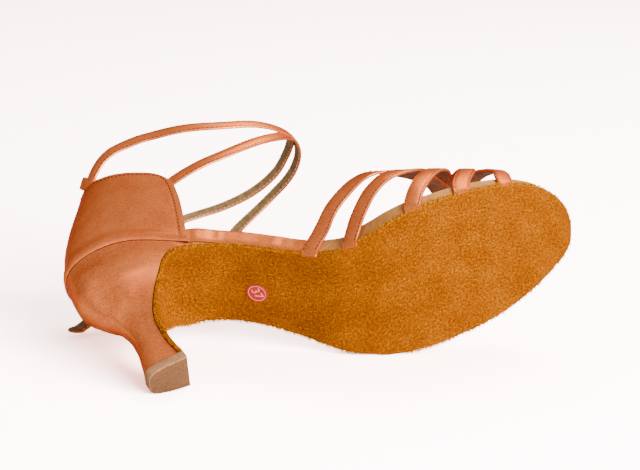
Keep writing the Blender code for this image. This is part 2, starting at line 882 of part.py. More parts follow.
def make_buckle(metal, material, parent):
    """Frame and prong over the strap, a tab from the heel cup and a keeper behind it."""
    place, along, n, side = strap_frame(buckled_rows, 0.0, buckle_at)
    out = ankle_strap_thickness + gap
    frame_ring("buckle", place + n * (out + buckle_wire / 2.0), n, along, side,
               buckle_length - 2.0 * buckle_wire, ankle_strap_width + 2.0 * gap,
               buckle_wire, buckle_wire, metal, parent)
    points, faces = box_points(place + n * (out + buckle_wire + gap + buckle_wire / 3.0), along, side, n,
                               (buckle_length, buckle_wire * 0.8, buckle_wire * 0.66))
    add_object("buckle_prong", points, faces, metal, parent)
    place, along, n, side = strap_frame(buckled_rows, 0.0, keeper_at)
    frame_ring("keeper", place + n * (ankle_strap_thickness / 2.0), along, n, side,
               ankle_strap_thickness + 2.0 * gap, ankle_strap_width + 2.0 * gap,
               loop_wall, keeper_length, material, parent)


def make_loop(material, parent):
    """Loop on the back of the heel cup that the sling strap passes through."""
    place, along, n, side = strap_frame(sling_rows, sling_lift, loop_at)
    frame_ring("back_loop", place + n * (ankle_strap_thickness / 2.0), along, n, side,
               ankle_strap_thickness + 2.0 * loop_play, ankle_strap_width + 2.0 * loop_play,
               loop_wall, loop_length, material, parent)


def lay_down(rest):
    """Turn the whole shoe onto its outer side, its lowest point on the floor, centred on the origin."""
    rest.rotation_euler = Euler([math.radians(a) for a in (rest_roll, rest_pitch, rest_turn)], "XYZ")
    bpy.context.view_layer.update()
    graph = bpy.context.evaluated_depsgraph_get()
    low = Vector((math.inf, math.inf, math.inf))
    high = -low
    for item in rest.children:
        if item.hide_render:
            continue
        shape = item.evaluated_get(graph)
        for point in shape.data.vertices:
            place = shape.matrix_world @ point.co
            for k in range(3):
                low[k] = min(low[k], place[k])
                high[k] = max(high[k], place[k])
    rest.location = (-(low.x + high.x) / 2.0, -(low.y + high.y) / 2.0, -low.z)


def main():
    for item in list(bpy.data.objects):
        bpy.data.objects.remove(item, do_unlink=True)

    satin = add_material("tan satin", (0.66, 0.25, 0.11), 0.42)
    suede = add_material("suede", (0.56, 0.18, 0.02), 0.95)
    board = add_material("beige leather", (0.72, 0.50, 0.33), 0.6)
    metal = add_material("polished metal", (0.80, 0.74, 0.60), 0.25, 1.0)
    rubber = add_material("heel tip rubber", (0.40, 0.20, 0.11), 0.6)

    rest = bpy.data.objects.new("rest", None)
    bpy.context.scene.collection.objects.link(rest)

    make_outsole(suede, rest)
    make_insole(board, rest)
    make_heel(satin, rest)
    make_tip(rubber, rest)
    make_counter(satin, rest)
    make_rim("waist_rim_inner", -1.0, satin, rest)
    make_rim("waist_rim_outer", 1.0, satin, rest)
    make_vamp(satin, rest)
    make_ankle(satin, rest)
    make_buckle(metal, satin, rest)
    make_tab(satin, rest)
    make_loop(satin, rest)
    lay_down(rest)


main()
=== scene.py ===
import random
from math import copysign, cos, exp, hypot, pi, radians, sin, sqrt

import bpy
import bmesh
from mathutils import Euler, Matrix, Vector, noise


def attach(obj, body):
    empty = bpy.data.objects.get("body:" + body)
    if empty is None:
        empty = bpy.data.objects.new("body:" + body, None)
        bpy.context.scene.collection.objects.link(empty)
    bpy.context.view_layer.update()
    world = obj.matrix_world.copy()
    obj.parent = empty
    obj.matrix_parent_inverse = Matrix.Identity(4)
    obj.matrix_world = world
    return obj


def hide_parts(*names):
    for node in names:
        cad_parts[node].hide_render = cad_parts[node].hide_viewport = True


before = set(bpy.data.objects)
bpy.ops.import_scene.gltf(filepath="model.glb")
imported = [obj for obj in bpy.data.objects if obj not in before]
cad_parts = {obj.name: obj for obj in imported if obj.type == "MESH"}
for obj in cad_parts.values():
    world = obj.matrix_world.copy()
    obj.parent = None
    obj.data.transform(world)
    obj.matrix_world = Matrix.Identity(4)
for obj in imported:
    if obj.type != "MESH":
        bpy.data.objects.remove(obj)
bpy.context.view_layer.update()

MM = 0.001

# Sizes that the shoe was cut to
sole_length = 196.5 * MM
ball_width = 75.0 * MM
arch_rise = 60.0 * MM
outsole_thickness = 2.0 * MM
insole_thickness = 3.6 * MM
insole_inset = 0.8 * MM
tip_length = 18.2 * MM
tip_front_width = 15.8 * MM
tip_back_width = 13.2 * MM
tip_thickness = 5.2 * MM
seat_height = 79.0 * MM
seat_length = 49.5 * MM
seat_back = 13.5 * MM
seat_drop = 23.8 * MM
seat_width = 43.0 * MM
counter_height = 47.5 * MM
counter_wall = 2.0 * MM
counter_top_width = 54.0 * MM
counter_lean = 26.5 * MM
counter_front_height = 43.5 * MM
counter_front_reach = 9.5 * MM
strap_width = 7.6 * MM
strap_thickness = 1.4 * MM
strap_step = 0.7 * MM
strap_foot = 0.2 * MM
vamp_height = 56.5 * MM
ankle_length = 96.0 * MM
ankle_width = 56.0 * MM
ankle_centre = 70.0 * MM
ankle_strap_width = 5.8 * MM
ankle_strap_thickness = 1.2 * MM
ankle_height = 120.0 * MM
buckle_length = 12.0 * MM
buckle_wire = 1.8 * MM
buckle_at = 0.765
keeper_at = 0.850
keeper_length = 4.0 * MM
sling_lift = 0.9 * MM
loop_at = 0.045
loop_length = 4.6 * MM
loop_play = 0.45 * MM
loop_wall = 0.9 * MM
gap = 0.3 * MM
rim_thickness = 1.2 * MM

# The standing shoe laid down on its outer side, as it rests on the floor
rest = Euler([radians(a) for a in (-70.7, -13.64, 24.33)], "XYZ").to_matrix().to_4x4()
rest.translation = (-60.947 * MM, -77.635 * MM, 6.739 * MM)

# Underside of the sole: along, inner and outer half width, rise
sole_rows = (
    (0.112, 0.283, 0.283, 1.000),
    (0.153, 0.281, 0.282, 0.955),
    (0.186, 0.274, 0.281, 0.903),
    (0.229, 0.247, 0.288, 0.833),
    (0.265, 0.242, 0.294, 0.762),
    (0.305, 0.243, 0.304, 0.650),
    (0.346, 0.240, 0.330, 0.530),
    (0.382, 0.242, 0.360, 0.417),
    (0.417, 0.268, 0.399, 0.303),
    (0.458, 0.313, 0.434, 0.192),
    (0.499, 0.390, 0.455, 0.122),
    (0.534, 0.451, 0.469, 0.073),
    (0.570, 0.500, 0.473, 0.040),
    (0.611, 0.535, 0.469, 0.015),
    (0.655, 0.546, 0.467, 0.000),
    (0.720, 0.540, 0.457, 0.000),
    (0.785, 0.512, 0.435, 0.000),
    (0.840, 0.474, 0.395, 0.006),
    (0.906, 0.387, 0.325, 0.019),
    (0.941, 0.308, 0.266, 0.025),
    (0.967, 0.228, 0.215, 0.029),
    (0.987, 0.134, 0.160, 0.032),
    (0.996, 0.062, 0.112, 0.034),
    (1.000, 0.012, 0.066, 0.034),
)

# Flap down the heel: middle along and rise, edge along and rise, half width
flap_rows = (
    (0.229, 0.833, 0.229, 0.832, 0.262),
    (0.193, 0.890, 0.196, 0.872, 0.270),
    (0.163, 0.925, 0.168, 0.883, 0.276),
    (0.135, 0.942, 0.142, 0.888, 0.264),
    (0.115, 0.940, 0.125, 0.875, 0.240),
    (0.097, 0.900, 0.107, 0.822, 0.204),
    (0.081, 0.825, 0.086, 0.750, 0.158),
    (0.067, 0.708, 0.067, 0.653, 0.123),
    (0.057, 0.583, 0.053, 0.550, 0.110),
    (0.052, 0.450, 0.045, 0.437, 0.105),
    (0.051, 0.283, 0.043, 0.283, 0.097),
    (0.053, 0.098, 0.048, 0.098, 0.095),
)

# Seat of the heel in the side view: share of length from the back, share of drop
seat_rows = (
    (0.00, 0.000), (0.07, 0.059), (0.29, 0.252), (0.53, 0.480),
    (0.70, 0.681), (0.82, 0.819), (1.00, 1.000),
)

# Heel block: share down the flap, back along, back rise, half width, power of the round back
heel_rows = (
    (0.36, -0.800, 0.905, 0.485, 2.3),
    (0.41, -0.838, 0.790, 0.438, 2.2),
    (0.46, -0.765, 0.712, 0.365, 2.1),
    (0.55, -0.570, 0.605, 0.262, 2.2),
    (0.64, -0.320, 0.515, 0.192, 2.4),
    (0.73, -0.220, 0.402, 0.162, 2.6),
    (0.82, -0.240, 0.310, 0.148, 3.0),
    (0.91, -0.345, 0.190, 0.143, 3.6),
    (1.00, -0.470, 0.069, 0.150, 4.0),
)

# Heel cup: level, back lean and rise, front reach and rise, half width
cup_rows = (
    (0.00, 0.000, 0.000, 0.000, 0.000, 0.398),
    (0.15, 0.070, 0.150, 0.220, 0.150, 0.422),
    (0.35, 0.230, 0.350, 0.540, 0.360, 0.458),
    (0.60, 0.500, 0.600, 0.860, 0.620, 0.488),
    (0.80, 0.750, 0.800, 1.000, 0.830, 0.500),
    (1.00, 1.000, 1.000, 1.000, 1.000, 0.500),
)

# Form under the vamp: along, height
vamp_rows = (
    (0.305, 1.48), (0.382, 1.35), (0.458, 1.24), (0.534, 1.12), (0.611, 1.06),
    (0.687, 0.88), (0.763, 0.70), (0.840, 0.56), (0.916, 0.45), (1.000, 0.34),
)

# Vamp straps from the rear to the toe: name, step over the form, rows of along, angle and turn of the band
vamp_straps = (
    ("vamp_strap_rear", 0.0, (
        (0.400, 0.0, 0.0), (0.434, 9.0, -5.0), (0.496, 25.5, -12.0), (0.546, 36.0, -15.0),
        (0.594, 44.0, -12.0), (0.656, 50.5, -2.0), (0.735, 62.0, 8.0), (0.800, 90.0, 3.0),
        (0.830, 135.0, 0.0), (0.845, 165.0, 0.0), (0.850, 180.0, 0.0))),
    ("vamp_strap_second", 1.0, (
        (0.472, 0.0, 0.0), (0.492, 4.0, -2.0), (0.518, 10.0, -3.0), (0.562, 19.0, -4.0),
        (0.608, 26.0, -4.0), (0.657, 34.0, -1.0), (0.702, 45.0, 4.0), (0.745, 64.0, 6.0),
        (0.785, 90.0, 2.0), (0.815, 140.0, 0.0), (0.825, 168.0, 0.0), (0.825, 180.0, 0.0))),
    ("vamp_strap_middle", 3.0, (
        (0.604, 0.0, 0.0), (0.632, 6.0, 0.0), (0.666, 14.0, 0.0), (0.698, 23.0, 0.0),
        (0.733, 36.0, 0.0), (0.768, 58.0, 0.0), (0.785, 90.0, 0.0), (0.745, 140.0, 0.0),
        (0.700, 168.0, 0.0), (0.685, 180.0, 0.0))),
    ("vamp_strap_fourth", 2.0, (
        (0.722, 0.0, 0.0), (0.738, 6.0, 0.0), (0.761, 14.0, 0.0), (0.782, 24.0, 0.0),
        (0.798, 40.0, 0.0), (0.800, 62.0, 0.0), (0.780, 90.0, 0.0), (0.705, 140.0, 0.0),
        (0.650, 168.0, 0.0), (0.635, 180.0, 0.0))),
    ("vamp_strap_toe", 4.0, (
        (0.832, 0.0, 0.0), (0.838, 6.0, 0.0), (0.846, 14.0, 0.0), (0.850, 26.0, 0.0),
        (0.848, 42.0, 0.0), (0.838, 62.0, 0.0), (0.812, 90.0, 0.0), (0.730, 130.0, 0.0),
        (0.670, 162.0, 0.0), (0.650, 180.0, 0.0))),
)

# Ankle straps: angle round the ankle, height, how far it stands off
sling_rows = (
    (-158.0, 1.042, 0.130), (-153.3, 1.056, 0.122), (-147.0, 1.073, 0.112), (-140.1, 1.090, 0.096),
    (-133.7, 1.096, 0.076), (-127.0, 1.095, 0.045), (-118.3, 1.086, 0.020), (-110.0, 1.073, 0.0),
    (-95.0, 1.036, 0.0), (-75.0, 0.985, 0.0), (-55.0, 0.975, 0.0),
    (-34.0, 0.969, 0.0), (-12.0, 0.982, 0.0), (8.0, 0.993, 0.0), (25.0, 0.999, 0.0),
    (45.0, 1.004, 0.0), (65.0, 0.979, 0.0), (78.0, 0.936, 0.0), (90.0, 0.850, 0.0),
    (99.0, 0.730, -0.02), (105.0, 0.580, -0.078), (108.0, 0.436, -0.146),
)
buckled_rows = (
    (-126.0, 0.812, -0.045), (-118.0, 0.809, -0.030), (-101.0, 0.803, -0.004), (-83.0, 0.813, 0.0),
    (-62.0, 0.856, 0.0), (-42.0, 0.909, 0.0), (-22.0, 0.980, 0.0), (-4.0, 1.040, 0.0),
    (14.0, 1.070, 0.0), (31.0, 1.074, 0.0), (52.0, 1.087, 0.0), (71.0, 1.107, 0.0),
    (88.0, 1.126, 0.0), (100.0, 1.118, 0.0), (111.0, 1.075, 0.02), (121.0, 1.010, 0.075),
    (131.0, 0.930, 0.185), (139.0, 0.860, 0.325), (145.5, 0.805, 0.505), (150.8, 0.760, 0.725),
)

# Tab under the buckle: along, out, height
tab_rows = (
    (0.575, 0.4895, 0.775), (0.585, 0.4895, 0.830), (0.595, 0.4890, 0.865),
    (0.610, 0.4780, 0.905), (0.630, 0.4630, 0.955), (0.650, 0.4575, 1.010),
)


# Reading the pattern tables

def between(a, b, leave, arrive, t):
    """Smooth way from a to b that leaves and arrives at the given slopes, t from 0 to 1."""
    start = (2.0 * t ** 3 - 3.0 * t ** 2 + 1.0) * a + (t ** 3 - 2.0 * t ** 2 + t) * leave
    return start + (3.0 * t ** 2 - 2.0 * t ** 3) * b + (t ** 3 - t ** 2) * arrive


def ease(rows, at, column):
    """A column of a table at a first-column value, smooth and without overshoot."""
    if at <= rows[0][0]:
        return rows[0][column]
    if at >= rows[-1][0]:
        return rows[-1][column]
    spans = [b[0] - a[0] for a, b in zip(rows, rows[1:])]
    slopes = [(b[column] - a[column]) / span for a, b, span in zip(rows, rows[1:], spans)]
    ends = [slopes[0]]
    for i in range(1, len(slopes)):
        if slopes[i - 1] * slopes[i] <= 0.0:
            ends.append(0.0)
            continue
        one = 2.0 * spans[i] + spans[i - 1]
        two = spans[i] + 2.0 * spans[i - 1]
        ends.append((one + two) / (one / slopes[i - 1] + two / slopes[i]))
    ends.append(slopes[-1])
    i = next(k for k in range(len(slopes)) if at <= rows[k + 1][0])
    return between(rows[i][column], rows[i + 1][column], ends[i] * spans[i], ends[i + 1] * spans[i],
                   (at - rows[i][0]) / spans[i])


def smooth(rows, t):
    """A point of a table as a smooth curve, t from 0 to 1 over its rows."""
    count = len(rows) - 1
    place = min(max(t, 0.0), 1.0) * count
    i = min(int(place), count - 1)
    four = rows[max(i - 1, 0)], rows[i], rows[i + 1], rows[min(i + 2, count)]
    return [between(b, c, (c - a) / 2.0, (d - b) / 2.0, place - i) for a, b, c, d in zip(*four)]


def ramp(value):
    """Smooth step from 0 to 1."""
    value = min(max(value, 0.0), 1.0)
    return value * value * (3.0 - 2.0 * value)


def squared(angle, power):
    """Cosine and sine on a squarish round: power 2 is a circle, a larger one has fuller corners."""
    return [copysign(abs(v) ** (2.0 / power), v) for v in (cos(angle), sin(angle))]


def underside(x):
    return ease(sole_rows, x / sole_length, 3) * arch_rise


def half_width(x, side):
    return ease(sole_rows, x / sole_length, 1 if side < 0 else 2) * ball_width


def arch_normal(x):
    step = 0.5 * MM
    slope = (underside(x + step) - underside(x - step)) / (2.0 * step)
    size = hypot(1.0, slope)
    return -slope / size, 1.0 / size


def seat_z(x):
    return seat_height - seat_drop * ease(seat_rows, (x + seat_back) / seat_length, 1)


def seat_front():
    return seat_length - seat_back


def cup_curve(turn, power=2.5):
    """Share of length from the front and share of half width round a heel cup, 0 inner to 1 outer."""
    side, reach = squared(pi * turn, power)
    return reach, -side


def insole_half(x, side):
    seat = seat_width / 2.0 - counter_wall - gap
    front = seat_front()
    if x < front:
        back = -seat_back + counter_wall + gap
        reach = min(1.0, max(0.0, (front - x) / (front - back)))
        return seat * (1.0 - reach ** 2.5) ** (1.0 / 2.5)
    blend = min(1.0, (x - front) / (12.0 * MM))
    toe = max(0.0, (x - 0.93 * sole_length) / (0.07 * sole_length))
    inset = half_width(x + insole_inset * toe, side) - insole_inset * (1.0 - toe * 0.7)
    return seat * (1.0 - blend) + inset * blend


def insole_bottom(x):
    lift = outsole_thickness + gap
    seat_end = 0.10 * sole_length
    front = 0.20 * sole_length
    nx, nz = arch_normal(max(x, seat_end))
    arch = Vector((x + nx * lift, 0.0, underside(x) + nz * lift))
    seat = Vector((x, 0.0, seat_z(x) + gap))
    if x <= seat_end:
        return seat, Vector((seat_drop / seat_length, 0.0, 1.0)).normalized()
    if x >= front:
        return arch, Vector((nx, 0.0, nz))
    t = ramp((x - seat_end) / (front - seat_end))
    return seat.lerp(arch, t), Vector((nx * t + (1.0 - t) * seat_drop / seat_length, 0.0, nz)).normalized()


def cup_point(level, turn):
    lean = ease(cup_rows, level, 1) * counter_lean
    rise = ease(cup_rows, level, 2) * counter_height
    reach, side = cup_curve(turn)
    front = Vector((seat_front() + ease(cup_rows, level, 3) * counter_front_reach, 0.0,
                    seat_z(seat_front()) + gap + ease(cup_rows, level, 4) * counter_front_height))
    back = Vector((-seat_back + lean, 0.0, seat_height + gap + rise))
    p = front.lerp(back, reach)
    p.z += (seat_z(seat_front() - reach * seat_length) - seat_z(seat_front()) * (1.0 - reach)
            - seat_height * reach) * (1.0 - level)
    p.y = side * ease(cup_rows, level, 5) * counter_top_width
    return p


def cup_normal(level, turn):
    step = 0.004
    up = cup_point(min(level + step, 1.0), turn) - cup_point(max(level - step, 0.0), turn)
    round_ = cup_point(level, min(turn + step, 1.0)) - cup_point(level, max(turn - step, 0.0))
    return up.cross(round_).normalized()


def vamp_point(x, angle, lift):
    base = insole_bottom(x)[0]
    inner = insole_half(x, -1) + gap + strap_foot
    outer = insole_half(x, 1) + gap + strap_foot
    half = (outer + inner) / 2.0 + lift
    height = ease(vamp_rows, x / sole_length, 1) * vamp_height - base.z + lift
    side, reach = squared(radians(angle), 2.4)
    return Vector((x, (outer - inner) / 2.0 - side * half, base.z + height * reach))


def vamp_normal(x, angle):
    step = 0.4 * MM
    along = vamp_point(x + step, angle, 0.0) - vamp_point(x - step, angle, 0.0)
    round_ = vamp_point(x, min(angle + 1.0, 180.0), 0.0) - vamp_point(x, max(angle - 1.0, 0.0), 0.0)
    n = along.cross(round_).normalized()
    return -n if n.z < 0.0 and 20.0 < angle < 160.0 else n


def ankle_point(angle, height, out, lift):
    turn = radians(angle)
    spread = lift + out * ankle_width
    return Vector((ankle_centre + (ankle_length / 2.0 + spread) * cos(turn),
                   (ankle_width / 2.0 + spread) * sin(turn), height * ankle_height))


def ankle_normal(angle):
    turn = radians(min(angle, 100.0))
    return Vector((cos(turn) / ankle_length, sin(turn) / ankle_width, 0.0)).normalized()


# Materials

def linear(code):
    """Linear colour of an sRGB hex value."""
    out = []
    for k in (0, 2, 4):
        c = int(code[k:k + 2], 16) / 255.0
        out.append(c / 12.92 if c <= 0.04045 else ((c + 0.055) / 1.055) ** 2.4)
    return (*out, 1.0)


def put(tree, kind, links=(), settings=(), **values):
    """Add a node: settings are its fields, values its sockets, links are (socket, from node, output)."""
    node = tree.nodes.new(kind)
    for field, value in settings:
        setattr(node, field, value)
    for name, value in values.items():
        node.inputs[name.replace("_", " ")].default_value = value
    for socket, source, output in links:
        tree.links.new(source.outputs[output], node.inputs[socket])
    return node


def shades(tree, source, output, stops):
    """Colour ramp over stops of position and hex colour, fed by a node's output."""
    node = put(tree, "ShaderNodeValToRGB", [("Fac", source, output)])
    points = node.color_ramp.elements
    while len(points) < len(stops):
        points.new(0.5)
    for point, (place, code) in zip(points, stops):
        point.position = place
        point.color = linear(code)
    return node


def material(name, **values):
    """New material with its node tree, shader and coordinates; values are the shader's sockets by name."""
    m = bpy.data.materials.new(name)
    m.use_nodes = True
    shader = m.node_tree.nodes["Principled BSDF"]
    for socket, value in values.items():
        shader.inputs[socket.replace("_", " ")].default_value = value
    return m, m.node_tree, shader, put(m.node_tree, "ShaderNodeTexCoord")


def feed(tree, shader, **sources):
    """Lead outputs into the shader's sockets by name, each given as a node and its output."""
    for socket, (node, output) in sources.items():
        tree.links.new(node.outputs[output], shader.inputs[socket.replace("_", " ")])


def woven_satin(name, dark, mid, light, rough=0.33, thread=0.30, lay="UV", size=1.0):
    """Polyester satin: close warp threads give a broad soft sheen in the yarn's colour, with fine slubs.

    The threads are drawn at 0.3 mm, coarser than real ones, which would be too fine to see. The pattern
    lies in the coordinates named by lay, whose unit holds size millimetres.
    """
    m, tree, shader, place = material(name, Metallic=0.78, Specular_IOR_Level=0.10, IOR=1.45,
                                      Anisotropic=0.4, Specular_Tint=linear("e8703a"))
    spread = (size / 2.4, size / thread, size / 2.4)
    at = [("Vector", place, lay)]
    warp = put(tree, "ShaderNodeMapping", at, Scale=spread)
    slub = put(tree, "ShaderNodeTexNoise", [("Vector", warp, "Vector")], Scale=1.0, Detail=3.0,
               Roughness=0.6)
    fleck = put(tree, "ShaderNodeTexNoise", at, Scale=1.3 * size, Detail=3.0, Roughness=0.8)
    cloud = put(tree, "ShaderNodeTexNoise", at, Scale=0.10 * size, Detail=2.0, Roughness=0.5)
    yarn = put(tree, "ShaderNodeMix", [("A", slub, "Fac"), ("B", fleck, "Fac")], Factor=0.6)
    tone = put(tree, "ShaderNodeMix", [("A", yarn, "Result"), ("B", cloud, "Fac")], Factor=0.15)
    colour = shades(tree, tone, "Result", ((0.32, dark), (0.50, mid), (0.66, light)))
    gloss = put(tree, "ShaderNodeMapRange", [("Value", yarn, "Result")], From_Min=0.3, From_Max=0.7,
                To_Min=rough + 0.10, To_Max=rough - 0.08)
    low = put(tree, "ShaderNodeBump", [("Height", cloud, "Fac")], Strength=0.25, Distance=0.8 * MM)
    fine = put(tree, "ShaderNodeBump", [("Height", yarn, "Result"), ("Normal", low, "Normal")],
               Strength=0.30, Distance=0.12 * MM)
    feed(tree, shader, Base_Color=(colour, "Color"), Roughness=(gloss, "Result"), Normal=(fine, "Normal"))
    return m


def split_suede(name, pit="3c1800", low="7c3a00", mid="8c4800", high="ce7c00"):
    """Chrome tanned split suede, brushed: a short nap about 0.6 mm long that lies in patches."""
    m, tree, shader, place = material(name, Roughness=1.0, Specular_IOR_Level=0.0, Sheen_Weight=0.06,
                                      Sheen_Roughness=0.6, Sheen_Tint=linear("e88a10"), IOR=1.45)
    at = [("Vector", place, "UV")]
    tuft = put(tree, "ShaderNodeTexNoise", at, Scale=0.9, Detail=4.0, Roughness=0.8)
    fibre = put(tree, "ShaderNodeTexNoise", at, Scale=2.2, Detail=3.0, Roughness=0.9)
    lie = put(tree, "ShaderNodeTexNoise", at, Scale=0.07, Detail=4.0, Roughness=0.6)
    nap = put(tree, "ShaderNodeMix", [("A", tuft, "Fac"), ("B", fibre, "Fac")], Factor=0.5)
    tone = put(tree, "ShaderNodeMix", [("A", nap, "Result"), ("B", lie, "Fac")], Factor=0.10)
    colour = shades(tree, tone, "Result", ((0.40, pit), (0.47, low), (0.52, mid), (0.60, high)))
    bump = put(tree, "ShaderNodeBump", [("Height", nap, "Result")], Strength=1.0, Distance=0.7 * MM)
    feed(tree, shader, Base_Color=(colour, "Color"), Normal=(bump, "Normal"))
    return m


def smooth_leather(name, dark, mid, light, grain=1.1, rough=0.55):
    """Corrected lining leather: small pebbled grain about a millimetre across, dull gloss."""
    m, tree, shader, place = material(name, Specular_IOR_Level=0.12, IOR=1.45)
    at = [("Vector", place, "UV")]
    pebble = put(tree, "ShaderNodeTexVoronoi", at, Scale=1.0 / grain, Randomness=1.0)
    mottle = put(tree, "ShaderNodeTexNoise", at, Scale=0.35, Detail=5.0, Roughness=0.65)
    colour = shades(tree, mottle, "Fac", ((0.32, dark), (0.50, mid), (0.70, light)))
    gloss = put(tree, "ShaderNodeMapRange", [("Value", mottle, "Fac")], From_Min=0.3, From_Max=0.7,
                To_Min=rough - 0.05, To_Max=rough + 0.12)
    bump = put(tree, "ShaderNodeBump", [("Height", pebble, "Distance")], Strength=0.25, Distance=0.12 * MM)
    feed(tree, shader, Base_Color=(colour, "Color"), Roughness=(gloss, "Result"), Normal=(bump, "Normal"))
    return m


def heel_rubber(name, dark, mid, light):
    """Pressed heel rubber, slightly chalky: fine cork-like flecks from the mould and a dull face."""
    m, tree, shader, place = material(name, Specular_IOR_Level=0.15, IOR=1.5)
    at = [("Vector", place, "Object")]
    fleck = put(tree, "ShaderNodeTexNoise", at, Scale=900.0, Detail=3.0, Roughness=0.7)
    patch = put(tree, "ShaderNodeTexNoise", at, Scale=120.0, Detail=4.0, Roughness=0.6)
    mix = put(tree, "ShaderNodeMix", [("A", fleck, "Fac"), ("B", patch, "Fac")], Factor=0.25)
    colour = shades(tree, mix, "Result", ((0.34, dark), (0.50, mid), (0.66, light)))
    gloss = put(tree, "ShaderNodeMapRange", [("Value", mix, "Result")], To_Min=0.62, To_Max=0.48)
    bump = put(tree, "ShaderNodeBump", [("Height", mix, "Result")], Strength=0.25, Distance=0.15 * MM)
    feed(tree, shader, Base_Color=(colour, "Color"), Roughness=(gloss, "Result"), Normal=(bump, "Normal"))
    return m


def plated_metal(name):
    """Nickel plated zinc casting, polished: bright, with hairline handling scratches."""
    m, tree, shader, place = material(name, Metallic=1.0, Base_Color=linear("d9cdb8"))
    hair = put(tree, "ShaderNodeMapping", [("Vector", place, "Object")], Scale=(400.0, 4000.0, 4000.0))
    rub = put(tree, "ShaderNodeTexNoise", [("Vector", hair, "Vector")], Scale=1.0, Detail=2.0)
    gloss = put(tree, "ShaderNodeMapRange", [("Value", rub, "Fac")], To_Min=0.12, To_Max=0.30)
    feed(tree, shader, Roughness=(gloss, "Result"))
    return m


def sewing_thread(name, code):
    """Bonded polyester thread, twisted and waxed."""
    m, tree, shader, place = material(name, Roughness=0.65, Specular_IOR_Level=0.05)
    twist = put(tree, "ShaderNodeTexNoise", [("Vector", place, "Object")], Scale=2500.0, Detail=1.0)
    bright = put(tree, "ShaderNodeHueSaturation", Color=linear(code), Saturation=1.0)
    level = put(tree, "ShaderNodeMapRange", [("Value", twist, "Fac")], To_Min=0.75, To_Max=1.2)
    feed(tree, bright, Value=(level, "Result"))
    feed(tree, shader, Base_Color=(bright, "Color"))
    return m


def glue_and_painted_shade(name, code):
    """Contact adhesive and painted shade in the closed joint between cup and heel: dull and dark."""
    m, tree, shader, place = material(name, Specular_IOR_Level=0.1, Base_Color=linear(code))
    skin = put(tree, "ShaderNodeTexNoise", [("Vector", place, "Object")], Scale=1500.0, Detail=2.0)
    dull = put(tree, "ShaderNodeMapRange", [("Value", skin, "Fac")], To_Min=0.6, To_Max=0.95)
    feed(tree, shader, Roughness=(dull, "Result"))
    return m


def printed_film(name, code):
    """Glossy printed sticker film, pressed into the nap so that its face is slightly uneven."""
    m, tree, shader, place = material(name, Roughness=0.45, Specular_IOR_Level=0.2,
                                      Base_Color=linear(code))
    press = put(tree, "ShaderNodeTexNoise", [("Vector", place, "Object")], Scale=700.0, Detail=2.0)
    bump = put(tree, "ShaderNodeBump", [("Height", press, "Fac")], Strength=0.3, Distance=0.15 * MM)
    feed(tree, shader, Normal=(bump, "Normal"))
    return m


tan_tones = ("b4481e", "f07a3e", "ffa056")
satin = woven_satin("tan_polyester_satin", *tan_tones)
# Paler copy of the suede for the loose edge fibres: paler cut ends, with painted light on the lit edge.
cut_fibres_and_painted_light = split_suede("pale_cut_suede_fibres_and_painted_light", "8c4a00", "b46800", "c87a00", "f0a418")
heel_satin = woven_satin("tan_satin_heel_cover", *tan_tones, lay="Object", size=1.0 / MM)
suede = split_suede("ochre_split_suede")
board_leather = smooth_leather("beige_insole_leather", "a8682c", "b8783a", "c88a4c")
strap_lining = smooth_leather("taupe_strap_lining", "6e5030", "886840", "9c7c52", grain=0.6)
vamp_lining = smooth_leather("rose_brown_vamp_lining", "84503a", "9c6448", "b07a5c", grain=0.6)
# Two copies of the heel rubber for the tip: the lighter one on its sides is painted light, the darker one
# on its face is painted shade.
rubber_painted_lit_side = heel_rubber("tan_heel_rubber_painted_lit_side", "8a5a38", "9c6a46", "ac7a56")
rubber_painted_shade_face = heel_rubber("tan_heel_rubber_painted_shade_face", "603a22", "6c462a", "7a5236")
nickel = plated_metal("nickel_plate")
# Near-black joint colour: glue and painted shade in the seam groove between cup and heel.
glue_and_painted_seam_shade = glue_and_painted_shade("brown_glue_and_painted_seam_shade", "4a1c0c")
thread_tan = sewing_thread("tan_thread", "5e220c")
thread_pale = sewing_thread("pale_thread", "cdb292")
film_red = printed_film("red_sticker_film", "b81c14")
film_pale = printed_film("pale_sticker_ink", "e09080")


# Pieces: every mesh is drawn on the standing shoe and then laid down

def stand(name, data):
    """Put a mesh, curve, light or camera into the scene."""
    item = bpy.data.objects.new(name, data)
    bpy.context.scene.collection.objects.link(item)
    return item


def piece(name, points, faces, materials, zones=None, uv=None, sharp=40.0):
    """Closed mesh piece, faces out, laid down with the shoe, riding on the one body."""
    mesh = bpy.data.meshes.new(name)
    mesh.from_pydata([tuple(p) for p in points], [], faces)
    for m in materials:
        mesh.materials.append(m)
    if zones:
        for face, zone in zip(mesh.polygons, zones):
            face.material_index = zone
    if uv:
        layer = mesh.uv_layers.new(name="UVMap")
        for spot, corner in zip(layer.data, [corner for corners in uv for corner in corners]):
            spot.uv = corner
    work = bmesh.new()
    work.from_mesh(mesh)
    bmesh.ops.remove_doubles(work, verts=work.verts, dist=0.000004)
    bmesh.ops.recalc_face_normals(work, faces=work.faces)
    if work.calc_volume(signed=True) < 0.0:
        bmesh.ops.reverse_faces(work, faces=work.faces)
    work.to_mesh(mesh)
    work.free()
    mesh.transform(rest)
    mesh.shade_smooth()
    mesh.set_sharp_from_angle(angle=radians(sharp))
    return stand(name, mesh)


